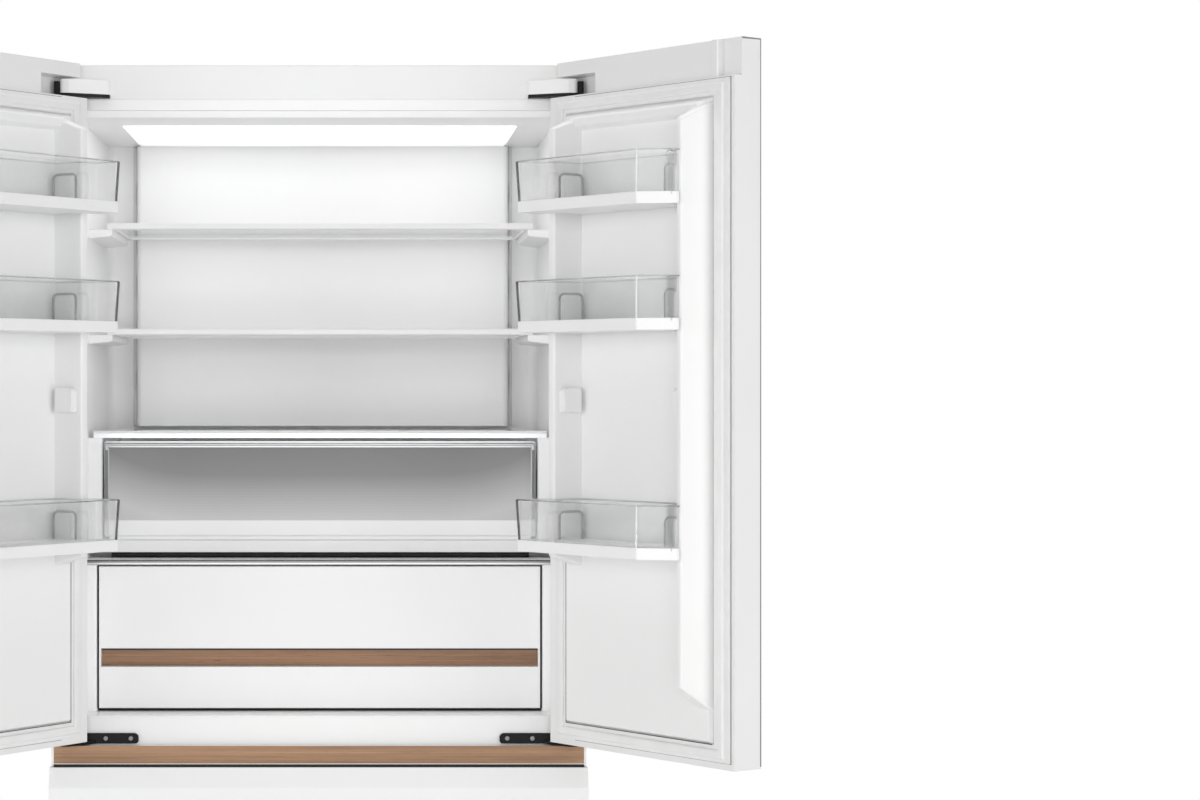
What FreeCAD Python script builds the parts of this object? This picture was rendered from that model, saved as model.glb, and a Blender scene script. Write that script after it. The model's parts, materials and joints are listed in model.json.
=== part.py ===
"""French-door refrigerator with two lower drawers, both upper doors standing open.

Millimetres. X runs to the right seen from the front, Y runs back from the cabinet's front
plane and Z runs up from the floor. Left-hand pieces are drawn and mirrored to the right.
"""
import FreeCAD, Part
import math
import os

Vector = FreeCAD.Vector

# Cabinet
WIDTH = 830.0
HEIGHT = 1830.0
DEPTH = 571.0                # cabinet alone, without its doors
SHEET = 1.0                  # steel of the case, back and base
LINER = 2.0                  # vacuum-formed plastic
SIDE_WALL = 45.0             # outside of the case to the inside of a compartment
TOP_WALL = 87.0
FLANGE = 22.0                # front edge of the case, turned inwards
CASE_FOOT = 34.0             # underside of the case above the floor
PAN = 2.0                    # base plate
PAN_SETBACK = 20.0           # base plate's front lip behind the front plane
CORNER_R = 16.0              # upright back corners of a compartment

# Lower drawers, counted up from the floor
DRAWER_Z0 = 61.0
DRAWER_H = 353.75
DRAWER_GAP = 4.0
DRAWER_T = 54.0
DRAWER_GRIP_H = 30.0         # top of the drawer down to the lip
DRAWER_LIP_DROP = 30.0       # bevel along the top of the front panel
DRAWER_LIP_SET = 13.0
DRAWER_LIP_T = 5.0
POCKET_DROP = 23.0           # finger pocket behind the lip
GRIP_SET = 40.0              # wood face behind the drawer's front face
GRIP_T = 3.0
GRIP_END = 3.5               # end walls that close the grip
TUB_T = 2.5
TUB_LIFT = 37.0              # tub above the bottom of the drawer front
TUB_DROP_TOP = 40.0          # tub below the top of the drawer front
RAIL_ROOM = 40.0             # freezer tub to the compartment wall
TUB_BACK_ROOM = 40.0         # freezer tub to the compartment back
RAIL_H = 34.0
RAIL_T = 3.0
RAIL_LIFT = 130.0            # rail above the bottom of the drawer front
RAIL_SET = 10.0              # rail behind the front plane
RAIL_SHORT = 5.0             # rail short of the tub's back
SLIDE_FLANGE = 6.0           # slide above and below its rail
SLIDE_GAP = 2.0              # rail's mouth to the slide
DRAWER_SEAL_W = 20.0
DRAWER_SEAL_SIDE = 7.0       # seal in from the drawer front's edges
DRAWER_SEAL_LOW = 6.0
DRAWER_SEAL_TOP = 8.0
SLIDE_T = 4.0
RUN = 0.3                    # clearance between pieces that slide

# Freezer compartment behind the drawers
FREEZER_SILL = 31.0          # drawer bottom to compartment floor
FREEZER_BACK_WALL = 101.0
SEAL_LAP = 36.0              # drawer front above the top of the opening
FREEZER_BEAM_H = 64.0
FREEZER_BEAM_D = 40.0
MACHINE_D = 226.0            # compressor bay
MACHINE_Z = 300.0
BAY_WALL = 45.0
BAY_ROOM = 15.0              # lower tub to the wall of the compressor bay

# Fridge compartment
BEAM_SHOW = 44.5             # mid beam between drawer and compartment floor
BEAM_D = 60.0
FRIDGE_BACK_WALL = 103.0
LIP_RISE = 17.0              # ceiling's front edge above the ceiling
LIP_STEP = 7.0
LIP_D = 8.0
SLOPE_D = 80.0
TOP_BEAM_D = 50.0
TOP_SEAL = 17.0              # sealing flange above the opening

# Doors
DOOR_GAP = 8.0               # closed door to the cabinet's front plane
DOOR_T = 54.0
DOOR_MIDDLE_GAP = 3.0
DOOR_SIDE_INSET = 1.0
DOOR_LIFT = 8.0              # door bottom above the top of the drawers
DOOR_TOP_GAP = 0.5
DOOR_EDGE_R = 4.0
OPEN_ANGLE = 125.4
PIVOT_E = 21.0               # hinge pin in from the door's hinge edge
PIVOT_Q = 28.0               # hinge pin out from the door's inner face
CAP_H = 54.5                 # thinner strip along the door's top
CAP_SET = 14.0
NOTCH_W = 90.0               # pocket for the top hinge
NOTCH_H = 33.0
NOTCH_SKIN = 8.0
PIN_R = 4.0
PIN_PLAY = 0.05
PIN_IN = 20.0

# Door seal and liner, from the hinge edge (E) and up from the door's bottom (Z)
SEAL_E0 = 19.0
SEAL_E1 = 405.0
SEAL_Z0 = 10.0
SEAL_TOP = 58.0              # below the door's top
SEAL_BASE = 3.5
SEAL_BULB = 13.0
SEAL_R = 3.5
SEAL_REST = 0.3
SEAL_W = 24.0                # along the door's top and bottom
SEAL_DIKE_GAP = 2.0
PANEL_E0 = 42.0
PANEL_E1 = 369.0
PANEL_Z0 = 35.0
PANEL_TOP = 82.5             # below the door's top
PANEL_Q = 7.0
DIKE_Q = 57.0
DIKE_E0 = 50.0               # hinge-side dike, across the door
DIKE_E1 = 84.0
FAR_DIKE_E0 = 342.0          # free-side dike
FAR_DIKE_E1 = 371.0
DIKE_OUTER_DRAFT = 14.0
DIKE_INNER_DRAFT = 6.0
FAR_INNER_DRAFT = 10.0
FAR_OUTER_DRAFT = 8.0
DIKE_TOP = 6.0               # dikes below the top of the panel
DIKE_TOP_DRAFT = 21.0
FAR_TOP_DRAFT = 27.0
DIKE_FOOT_DRAFT = 16.0
FAR_FOOT_Z = 80.0            # free-side dike above the door's bottom
FAR_FOOT_DRAFT = 38.0
DIKE_R = 4.0
RIB_Q = 20.0                 # rib across the top
RIB_H = 29.0
RIB_TOP = 2.0
RIB_DRAFT = 8.0
RIB_SET = 10.0               # rib in from the outer sides of the dikes
RIB_END = 6.0
PANEL_DRAFT = 4.0
PANEL_R = 2.0
BOSS_H = 37.0
BOSS_E = 8.0
BOSS_R = 7.0
BOSS_GAP = 1.0               # bin channel to boss
BOSS_LIFT = 3.0              # boss above the top of a bin's tray
BOSS_ROOT = 8.0              # boss into the hinge-side dike
FAR_BOSS_ROOT = 12.0
BOSS_Q0 = 14.5
BOSS_Q1 = 47.0
SPARE_BOSS_SHARE = 0.4862

# Door bins
BIN_SHARES = (0.2874, 0.6006, 0.7726)   # bin bottoms, as shares of the door height
BIN_T = 2.2
BIN_H = 77.0
TRAY_H = 17.0
BIN_Q0 = 9.5
BIN_Q1 = 112.0
BIN_FLARE = 29.0             # how far a bin reaches over the dike
BIN_CHAMFER = 40.0
BIN_GAP = 2.0                # bin to the dikes
BIN_RIDGE_GAP = 5.0          # wide front of a bin to the tops of the dikes
BIN_SLOPE = 4.0
BIN_R = 4.0
BIN_CUT_R = 6.0
WELL_D = 4.0                 # shallow well in a tray

# Centre flap on the left door
FLAP_W = 50.0
FLAP_T = 20.0
FLAP_R = 4.0
FLAP_HEEL_R = 10.0
FLAP_GAP = 0.5               # flap behind the front plane
FLAP_E = 394.0
FLAP_END = 8.0               # flap to the ceiling and the floor of the opening
EAR_H = 12.0
EAR_PIN_R = 2.0
EAR_PIN_L = 10.0             # pin above and below its ear
EAR_ROOT = 8.0               # ear into the dike
EAR_R = 3.5
FLAP_NOTCH_IN = 12.0         # notch in the flap round each ear
FLAP_NOTCH_OUT = 7.0
EAR_SHARES = (0.143, 0.82)

# Hinges
HINGE_T = 5.0
HINGE_LIFT = 3.0             # top hinge above the door's shoulder
HINGE_R = 7.0
HINGE_REACH = 68.0           # pin to the inner end of the top hinge cover
HINGE_LOW = 14.0             # depth of the cover at its inner end
HINGE_HEEL = 17.0            # pin to the outer end of the hinge's foot
COVER_H = 22.0
COVER_T = 2.0
COVER_R = 1.5
ARM_INSET = 0.5
ARM_R = 6.0
LEG_SET = 7.0                # hinge leg in from the ends of the cover
LEG_DROP = 4.0               # hinge leg below the top of the cover
STOP_REACH = 16.0            # pin to the outer face of the door stop
STOP_HALF = 6.0
STOP_H = 18.0
STOP_R = 3.0
STOP_GAP = 0.5               # stop to the cover
LOWER_PLATE_X = 112.0        # pin to the inner end of the lower plate
LOWER_PLATE_W = 80.0
LOWER_PLATE_H = 16.0
LOWER_PLATE_R = 7.0
LOWER_FOOT_R = 5.0
LOWER_LIFT = 1.5             # lower arm above the drawer
LOWER_ARM_LAP = 14.0         # arm past the outer end of its plate
UPPER_SCREWS = (30.0, 55.0)  # pin to the screws
LOWER_SCREWS = (61.0, 100.0)
SCREW_R = 2.0
SCREW_HEAD_R = 4.0
SCREW_HEAD_H = 2.5
SCREW_L = 14.0
SCREW_PLAY = 0.1

# Shelves and light
SHELF_FRONT = 110.0
SHELF_BACK_ROOM = 7.0        # shelves and drawers to the back panel
SHELF_SIDE = 30.0            # shelf to the compartment wall
SHELF_T = 10.4
SHELF_BAR = 13.0
GLASS_T = 4.0
GLASS_IN = 6.0               # glass held in the frame
SHELF_SHARES = (0.6425, 0.8245)   # of the compartment height
COVER_SHARE = 0.4649
COVER_SIDE = 8.0
COVER_FRAME_T = 7.5
LEDGE_T = 10.0
LEDGE_R = 4.0
LEDGE_LAP = 8.0              # shelf resting on its ledge
LEDGE_SET = 4.0              # ledge behind the shelf's front
LEDGE_SHORT = 10.0           # ledge short of the shelf's back
CHEEK_R = 4.0
BAY_GAP = 3.0                # inner drawers to the walls of their bay
LIGHT_SIDE = 57.0
LIGHT_BACK_ROOM = 15.0
LIGHT_T = 3.0
LIGHT_BEVEL = 4.0
AIR_SIDE = 52.0
AIR_RISE = 31.0              # back panel in front of the liner's back
AIR_T = 2.5
AIR_R = 8.0
AIR_SLOTS = 5

# Chilled drawer, partition and lower inner drawer
PARTITION_SHARE = 0.2495
PARTITION_T = 8.0
PARTITION_H = 36.5
PARTITION_FRONT = 58.0
LEDGE_FRONT = 112.0
LEDGE_SHOW = 19.5
SHADOW_D = 45.0
TRIM_T = 5.0
CHILLED_SIDE = 33.0
CHILLED_STRIP = 25.5
CHILLED_RIM = 10.0
CHILLED_POST = 7.0
CHILLED_GAP = 6.0            # front strip above the partition
CRISPER_FRONT = 56.0
CRISPER_SIDE = 22.0
CRISPER_LOW = 65.5           # lower panel
CRISPER_GRIP = 29.0          # gap with the wood strip
CRISPER_T = 30.0
CRISPER_LIP = 8.0
CRISPER_POCKET = 24.0
CRISPER_UNDERCUT = 16.0
CRISPER_END = 3.0            # ends that close the grip recess
CRISPER_FLANGE = 18.0        # tub in from the front's ends
CRISPER_FLANGE_T = 3.0
CRISPER_FLANGE_GAP = 2.0
CRISPER_GAP = 5.0            # drawer above the compartment floor
RUNNER_DROP = 44.0           # runner ledges below the partition
RUNNER_LAP = 10.0
TUB_DROP = 16.0              # lower tub below the partition
FRONT_GAP = 2.0              # lower front to the partition, the runners and the cheeks
COVER_GAP = 5.0              # chilled front below the cover shelf

# Machinery, feet and rollers
FIN_COUNT = 16
FIN_T = 1.0
FIN_W = 420.0
FIN_H = 180.0
FIN_D = 22.0
COIL_LIFT = 40.0             # coil above the cover shelf
COIL_R = 4.0
COIL_END = 10.0              # tubes past the outer fins
COIL_SHARES = (0.2, 0.5, 0.8)   # tube rows up the fins
FAN_SHARE = 0.686            # fan between the cover shelf and the ceiling
FAN_R = 55.0
FAN_HUB_R = 16.0
FAN_BLADES = 7
FAN_SHAFT_R = 2.5
FAN_T = 14.0
MOTOR_T = 5.0
BLADE_T = 2.0
BLADE_HALF = 17.0
BLADE_TURN = 12.0            # pitch of the blades
POT_R = 78.0
POT_H = 152.0
POT_X = -170.0
POT_DOME = 42.0              # height of each domed end
POT_FLAT_R = 46.0
POT_DOME_R = 30.0
POT_RIM_R = 20.0
POT_PLATE_T = 3.0
POT_PLATE_X = 95.0
POT_PLATE_Y = 60.0
POT_FOOT_X = 80.0
POT_FOOT_Y = 46.0
POT_FOOT_R = 11.0
POT_FOOT_H = 14.0
SLOT_ROWS = 9
SLOT_H = 8.0
SLOT_R = 3.5
SLOT_MARGIN = 60.0           # slots in from the cover's ends and middle
FOOT_R = 18.0
FOOT_H = 10.0
FOOT_EDGE_R = 2.0
SOCKET_H = 14.0              # foot socket under the base plate
SOCKET_WALL = 6.0
FOOT_IN = 55.0               # feet and rollers in from the sides
FOOT_Y = 45.0
STEM_R = 5.0
ROLLER_R = 15.0
ROLLER_W = 18.0
ROLLER_IN = 51.0             # rear rollers in from the back
AXLE_R = 3.0
BRACKET_HALF = 14.0          # roller bracket at its root and round its axle
BRACKET_TIP = 6.0
BRACKET_DROP = 7.0
BRACKET_R = 5.0
KICK_H = 45.0
KICK_SET = 20.0

# Places worked out from the sizes above
HALF = WIDTH / 2
INNER = HALF - SIDE_WALL
FLANGE_X = HALF - FLANGE
PAN_TOP = CASE_FOOT + PAN
LOWER_Z0 = DRAWER_Z0
UPPER_Z0 = DRAWER_Z0 + DRAWER_H + DRAWER_GAP
DRAWER_TOP = UPPER_Z0 + DRAWER_H
FREEZER_FLOOR = DRAWER_Z0 + FREEZER_SILL
FREEZER_TOP = DRAWER_TOP - SEAL_LAP
FLOOR = DRAWER_TOP + BEAM_SHOW
CEILING = HEIGHT - TOP_WALL
LIP = CEILING + LIP_RISE
TOP_BEAM_BOTTOM = LIP + TOP_SEAL
DOOR_Z0 = DRAWER_TOP + DOOR_LIFT
DOOR_Z1 = HEIGHT - DOOR_TOP_GAP
DOOR_W = HALF - DOOR_SIDE_INSET - DOOR_MIDDLE_GAP / 2
DOOR_EDGE = HALF - DOOR_SIDE_INSET
CAP_Z = DOOR_Z1 - CAP_H
HINGE_Z = CAP_Z + HINGE_T + HINGE_LIFT
PIVOT_X = DOOR_EDGE - PIVOT_E
PIVOT_Y = -DOOR_GAP - PIVOT_Q
DRAWER_FACE = -DOOR_GAP - DRAWER_T
DRAWER_HALF = HALF - 0.5
MACHINE_Y = DEPTH - MACHINE_D
FRIDGE_BACK = DEPTH - FRIDGE_BACK_WALL
FREEZER_BACK = DEPTH - FREEZER_BACK_WALL
TUB_HALF = INNER - RAIL_ROOM
UPPER_TUB_END = FREEZER_BACK - TUB_BACK_ROOM
GRIP_Y = DRAWER_FACE + GRIP_SET
LOWER_TUB_END = MACHINE_Y - BAY_WALL - BAY_ROOM
AIR_FACE = FRIDGE_BACK - AIR_RISE
AIR_HALF = INNER - AIR_SIDE
SHELF_BACK = AIR_FACE - SHELF_BACK_ROOM
SHELF_HALF = INNER - SHELF_SIDE
COVER_HALF = INNER - COVER_SIDE
LIGHT_HALF = INNER - LIGHT_SIDE
LIGHT_BACK = AIR_FACE - LIGHT_BACK_ROOM
COVER_Z = FLOOR + COVER_SHARE * (CEILING - FLOOR)
PARTITION_Z = FLOOR + PARTITION_SHARE * (CEILING - FLOOR)
PARTITION_TOP = PARTITION_Z + PARTITION_H
CHILLED_HALF = INNER - CHILLED_SIDE
CHILLED_Z = PARTITION_TOP + CHILLED_GAP
CHILLED_GLASS_Z = CHILLED_Z + CHILLED_STRIP
CHILLED_TOP = COVER_Z - COVER_GAP
CRISPER_HALF = INNER - CRISPER_SIDE
CRISPER_Z = FLOOR + CRISPER_GAP
CRISPER_TOP = PARTITION_Z - FRONT_GAP
RUNNER_Z = PARTITION_Z - RUNNER_DROP
FAN_Z = COVER_Z + FAN_SHARE * (CEILING - COVER_Z)
FOOT_X = HALF - FOOT_IN
ROLLER_Y = DEPTH - ROLLER_IN
SHELF_LEVELS = [FLOOR + share * (CEILING - FLOOR) for share in SHELF_SHARES]
BIN_BASES = [DOOR_Z0 + share * (DOOR_Z1 - DOOR_Z0) for share in BIN_SHARES]
EAR_LEVELS = [DOOR_Z0 + share * (DOOR_Z1 - DOOR_Z0) for share in EAR_SHARES]
SPARE_BOSS = DOOR_Z0 + SPARE_BOSS_SHARE * (DOOR_Z1 - DOOR_Z0)


def origin_y():
    """Middle of the whole object's depth, with the doors standing open."""
    turn = math.radians(OPEN_ANGLE)
    across = FLAP_E + FLAP_R - PIVOT_E
    out = PIVOT_Q + DOOR_GAP + FLAP_GAP + FLAP_W
    front = PIVOT_Y - across * math.sin(turn) + out * math.cos(turn)
    return (front + DEPTH) / 2


def outline(corners, place):
    """Closed wire through (u, v) or (u, v, radius) corners, set in space by place."""
    points = [Vector(corner[0], corner[1], 0) for corner in corners]
    radii = [corner[2] if len(corner) > 2 else 0 for corner in corners]
    arcs = []
    for i, here in enumerate(points):
        if radii[i] == 0:
            arcs.append((here, None, here))
            continue
        back = (points[i - 1] - here).normalize()
        ahead = (points[(i + 1) % len(points)] - here).normalize()
        half = back.getAngle(ahead) / 2
        run = radii[i] / math.tan(half)
        centre = here + (back + ahead).normalize() * (radii[i] / math.sin(half))
        middle = centre + (here - centre).normalize() * radii[i]
        arcs.append((here + back * run, middle, here + ahead * run))
    edges = []
    for i, (start, middle, end) in enumerate(arcs):
        if middle is not None:
            edges.append(Part.Arc(place(start), place(middle), place(end)).toShape())
        following = arcs[(i + 1) % len(arcs)][0]
        if (following - end).Length > 1e-6:
            edges.append(Part.LineSegment(place(end), place(following)).toShape())
    return Part.Wire(edges)


def prism_x(corners, x0, x1):
    """Outline in (y, z), drawn out along X."""
    face = Part.Face(outline(corners, lambda p: Vector(x0, p.x, p.y)))
    return face.extrude(Vector(x1 - x0, 0, 0))


def prism_y(corners, y0, y1):
    """Outline in (x, z), drawn out along Y."""
    face = Part.Face(outline(corners, lambda p: Vector(p.x, y0, p.y)))
    return face.extrude(Vector(0, y1 - y0, 0))


def prism_z(corners, z0, z1):
    """Outline in (x, y), drawn out along Z."""
    face = Part.Face(outline(corners, lambda p: Vector(p.x, p.y, z0)))
    return face.extrude(Vector(0, 0, z1 - z0))


def box(x0, x1, y0, y1, z0, z1):
    return Part.makeBox(x1 - x0, y1 - y0, z1 - z0, Vector(x0, y0, z0))


def rod(radius, start, end):
    """Round bar between two points."""
    along = end - start
    return Part.makeCylinder(radius, along.Length, start, along)


def mirrored(shape):
    return shape.mirror(Vector(0, 0, 0), Vector(1, 0, 0))


def on_both_sides(shape):
    return [shape, mirrored(shape)]


def joined(first, others):
    return first.fuse(others).removeSplitter()


def frustum(base, top, y0, y1, radius):
    """Drafted block between two (x0, x1, z0, z1) rectangles, its raised edges rounded."""
    wires = []
    for (x0, x1, z0, z1), y in ((base, y0), (top, y1)):
        corners = [(x0, z0), (x1, z0), (x1, z1), (x0, z1)]
        wires.append(outline(corners, lambda p, y=y: Vector(p.x, y, p.y)))
    block = Part.makeLoft(wires, True, True)
    raised = [edge for edge in block.Edges if edge.BoundBox.YMax > max(y0, y1) - 0.01]
    return block.makeFillet(radius, raised)


def upright_edges(shape, y):
    """Upright edges that stand at one depth."""
    return [edge for edge in shape.Edges
            if edge.BoundBox.ZLength > 100 and abs(edge.BoundBox.YMin - y) < 0.01
            and edge.BoundBox.YLength < 0.01]


def open_tub(half, y0, y1, z0, z1):
    """Tub open at the top."""
    hollow = box(-half + TUB_T, half - TUB_T, y0 + TUB_T, y1 - TUB_T, z0 + TUB_T, z1 + 1)
    return box(-half, half, y0, y1, z0, z1).cut(hollow)


def outer_case():
    inside = HALF - SHEET
    roof = HEIGHT - SHEET
    wrap = prism_y([(-HALF, CASE_FOOT), (-HALF, HEIGHT), (HALF, HEIGHT), (HALF, CASE_FOOT),
                    (inside, CASE_FOOT), (inside, roof), (-inside, roof), (-inside, CASE_FOOT)],
                   0, DEPTH)
    flange = box(-HALF, -FLANGE_X, 0, SHEET, CASE_FOOT, TOP_BEAM_BOTTOM)
    return joined(wrap, on_both_sides(flange))


def rear_panel():
    """Back sheet, stepped in over the compressor bay."""
    near = DEPTH - SHEET
    roof = HEIGHT - SHEET
    wall = MACHINE_Y - SHEET
    ceiling = MACHINE_Z + SHEET
    corners = [(DEPTH, roof), (DEPTH, MACHINE_Z), (MACHINE_Y, MACHINE_Z), (MACHINE_Y, PAN_TOP),
               (wall, PAN_TOP), (wall, ceiling), (near, ceiling), (near, roof)]
    return prism_x(corners, -HALF + SHEET, HALF - SHEET)


def base_pan():
    """Base plate with its front lip, foot sockets and roller brackets."""
    inside = HALF - SHEET
    lip = PAN_SETBACK + PAN
    plate = prism_x([(PAN_SETBACK, CASE_FOOT), (PAN_SETBACK, DRAWER_Z0), (lip, DRAWER_Z0),
                     (lip, PAN_TOP), (DEPTH, PAN_TOP), (DEPTH, CASE_FOOT)], -inside, inside)
    socket_z = CASE_FOOT - SOCKET_H
    socket = rod(STEM_R + SOCKET_WALL, Vector(-FOOT_X, FOOT_Y, socket_z), Vector(-FOOT_X, FOOT_Y, CASE_FOOT))
    bore = rod(STEM_R + PIN_PLAY, Vector(-FOOT_X, FOOT_Y, socket_z - 1),
               Vector(-FOOT_X, FOOT_Y, CASE_FOOT))
    cheek_x = ROLLER_W / 2 + RUN
    tip = ROLLER_R - BRACKET_DROP
    cheek = prism_x([(ROLLER_Y - BRACKET_HALF, CASE_FOOT), (ROLLER_Y + BRACKET_HALF, CASE_FOOT),
                     (ROLLER_Y + BRACKET_TIP, tip, BRACKET_R), (ROLLER_Y - BRACKET_TIP, tip, BRACKET_R)],
                    0, PAN)
    left = cheek.translated(Vector(-FOOT_X - cheek_x - PAN, 0, 0))
    right = cheek.translated(Vector(-FOOT_X + cheek_x, 0, 0))
    axle = rod(AXLE_R, Vector(-FOOT_X - cheek_x - PAN, ROLLER_Y, ROLLER_R),
               Vector(-FOOT_X + cheek_x + PAN, ROLLER_Y, ROLLER_R))
    under = Part.makeCompound([socket.cut(bore), left.fuse([right, axle])])
    return joined(plate, on_both_sides(under))


def fridge_profile(front, grow):
    """Section of the fridge compartment, grown outwards by a wall."""
    return [(front, FLOOR - grow), (FRIDGE_BACK + grow, FLOOR - grow),
            (FRIDGE_BACK + grow, CEILING + grow), (SLOPE_D, CEILING + grow),
            (LIP_D + LIP_STEP + grow, CEILING + LIP_STEP + grow), (LIP_D + grow, LIP + grow),
            (front, LIP + grow)]


def fridge_block(front, grow):
    block = prism_x(fridge_profile(front, grow), -INNER - grow, INNER + grow)
    return block.makeFillet(CORNER_R + grow, upright_edges(block, FRIDGE_BACK + grow))


def wall_ledge(z_top, reach, y0, y1):
    """Moulded ledge on the left wall, braced below."""
    corners = [(-INNER, z_top), (-INNER + reach, z_top), (-INNER + reach, z_top - LEDGE_T, LEDGE_R),
               (-INNER, z_top - LEDGE_T - LEDGE_R)]
    return prism_y(corners, y0, y1)


def bay_cheek(inner, y0, z0, z1):
    """Thicker stretch of the left wall beside an inner drawer."""
    return prism_z([(-INNER, y0), (inner, y0, CHEEK_R), (inner, SHELF_BACK), (-INNER, SHELF_BACK)], z0, z1)


def fridge_liner():
    shell = fridge_block(0, LINER).cut(fridge_block(-1, 0))
    flange = box(-FLANGE_X, FLANGE_X, 0, LINER, FLOOR - LINER, LIP + TOP_SEAL)
    flange = flange.cut(box(-INNER, INNER, -1, LINER + 1, FLOOR - LINER - 1, LIP))
    back = SHELF_BACK - LEDGE_SHORT
    left = [wall_ledge(level, SHELF_SIDE + LEDGE_LAP, SHELF_FRONT + LEDGE_SET, back)
            for level in SHELF_LEVELS]
    left.append(wall_ledge(RUNNER_Z, CRISPER_SIDE + RUNNER_LAP, CRISPER_FRONT + CRISPER_T + FRONT_GAP, back))
    left.append(bay_cheek(-CRISPER_HALF - BAY_GAP, CRISPER_FRONT + FRONT_GAP, FLOOR, PARTITION_Z))
    left.append(bay_cheek(-CHILLED_HALF - CHILLED_POST - BAY_GAP, SHELF_FRONT, PARTITION_TOP, COVER_Z))
    both = [side for piece in left for side in on_both_sides(piece)]
    return joined(shell, [flange] + both)


def freezer_block(front, grow):
    bay_back = MACHINE_Y - BAY_WALL
    bay_top = MACHINE_Z + BAY_WALL
    corners = [(front, FREEZER_FLOOR - grow), (bay_back + grow, FREEZER_FLOOR - grow),
               (bay_back + grow, bay_top - grow), (FREEZER_BACK + grow, bay_top - grow),
               (FREEZER_BACK + grow, FREEZER_TOP + grow), (front, FREEZER_TOP + grow)]
    return prism_x(corners, -INNER - grow, INNER + grow)


def freezer_liner():
    shell = freezer_block(0, LINER).cut(freezer_block(-1, 0))
    flange = box(-FLANGE_X, FLANGE_X, 0, LINER, DRAWER_Z0, FREEZER_TOP + LINER)
    flange = flange.cut(box(-INNER, INNER, -1, LINER + 1, FREEZER_FLOOR, FREEZER_TOP + LINER + 1))
    return joined(shell, [flange])


def mid_beam_block():
    return box(-FLANGE_X, FLANGE_X, 0, BEAM_D, FREEZER_TOP + LINER, FLOOR - LINER)


def mid_beam():
    hollow = box(-FLANGE_X + LINER, FLANGE_X - LINER, LINER, BEAM_D + 1,
                 FREEZER_TOP + 2 * LINER, FLOOR - 2 * LINER)
    return mid_beam_block().cut([hollow] + lower_screw_holes())


def freezer_beam():
    middle = UPPER_Z0 - DRAWER_GAP / 2
    z0 = middle - FREEZER_BEAM_H / 2
    z1 = middle + FREEZER_BEAM_H / 2
    beam = prism_x([(0, z0), (FREEZER_BEAM_D, z0, 6), (FREEZER_BEAM_D, z1, 6), (0, z1)], -INNER, INNER)
    hollow = box(-INNER - 1, INNER + 1, LINER, FREEZER_BEAM_D - LINER, z0 + LINER, z1 - LINER)
    return beam.cut(hollow)


def top_beam_block():
    roof = HEIGHT - SHEET
    corners = [(0, TOP_BEAM_BOTTOM), (0, roof), (TOP_BEAM_D, roof), (TOP_BEAM_D, TOP_BEAM_BOTTOM)]
    return prism_x(corners, -HALF + SHEET, HALF - SHEET)


def top_beam():
    hollow = box(-HALF + SHEET + LINER, HALF - SHEET - LINER, LINER, TOP_BEAM_D + 1,
                 TOP_BEAM_BOTTOM + LINER, HEIGHT - SHEET - LINER)
    return top_beam_block().cut([hollow] + upper_screw_holes())


def foam_core():
    inside = HALF - SHEET
    block = box(-inside, inside, LINER, DEPTH - SHEET, PAN_TOP, HEIGHT - SHEET)
    bay = box(-inside, inside, MACHINE_Y - SHEET, DEPTH, PAN_TOP, MACHINE_Z + SHEET)
    toe = box(-inside, inside, 0, PAN_SETBACK + PAN, PAN_TOP, DRAWER_Z0)
    return block.cut([bay, toe, fridge_block(0, LINER), freezer_block(0, LINER), mid_beam_block(),
                      top_beam_block()])


def kick_plate():
    z0 = DRAWER_Z0 - DRAWER_GAP - KICK_H
    z1 = DRAWER_Z0 - DRAWER_GAP
    corners = [(-KICK_SET, z0), (-KICK_SET, z1, 3), (PAN_SETBACK, z1), (PAN_SETBACK, z1 - PAN),
               (PAN - KICK_SET, z1 - PAN), (PAN - KICK_SET, z0)]
    return prism_x(corners, -FLANGE_X, FLANGE_X)


def air_panel():
    """Raised back panel with outlets in its flanks and the fan's shaft behind it."""
    z0 = COVER_Z + COVER_FRAME_T + GLASS_T + 3
    z1 = CEILING - 1
    def shell(inset, back):
        half = AIR_HALF - inset
        face = AIR_FACE + inset
        return prism_z([(-half, back), (-half, face, AIR_R - inset), (half, face, AIR_R - inset),
                        (half, back)], z0 + inset, z1 - inset)
    panel = shell(0, FRIDGE_BACK).cut(shell(AIR_T, FRIDGE_BACK + 1))
    pitch = (z1 - z0) / (AIR_SLOTS + 1)
    slots = [box(-AIR_HALF - 1, AIR_HALF + 1, AIR_FACE + AIR_R + 4, FRIDGE_BACK - 6,
                 z0 + pitch * (i + 0.8), z0 + pitch * (i + 1.2)) for i in range(AIR_SLOTS)]
    mount_y = AIR_FACE + AIR_T
    motor = rod(FAN_HUB_R - 2, Vector(0, mount_y, FAN_Z), Vector(0, mount_y + MOTOR_T, FAN_Z))
    shaft = rod(FAN_SHAFT_R, Vector(0, mount_y, FAN_Z), Vector(0, mount_y + MOTOR_T + FAN_T, FAN_Z))
    return joined(panel.cut(slots), [motor, shaft])


def light_cover():
    y1 = LIGHT_BACK
    b = LIGHT_BEVEL
    wires = []
    for inset, z in ((0, CEILING), (b, CEILING - LIGHT_T)):
        corners = [(-LIGHT_HALF + inset, SLOPE_D + inset), (LIGHT_HALF - inset, SLOPE_D + inset),
                   (LIGHT_HALF - inset, y1 - inset), (-LIGHT_HALF + inset, y1 - inset)]
        wires.append(outline(corners, lambda p, z=z: Vector(p.x, p.y, z)))
    return Part.makeLoft(wires, True, True)


def shelf_glass(z):
    inset = SHELF_BAR - GLASS_IN
    z0 = z + (SHELF_T - GLASS_T) / 2
    return box(-SHELF_HALF + inset, SHELF_HALF - inset, SHELF_FRONT + inset, SHELF_BACK - inset,
               z0, z0 + GLASS_T)


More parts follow.
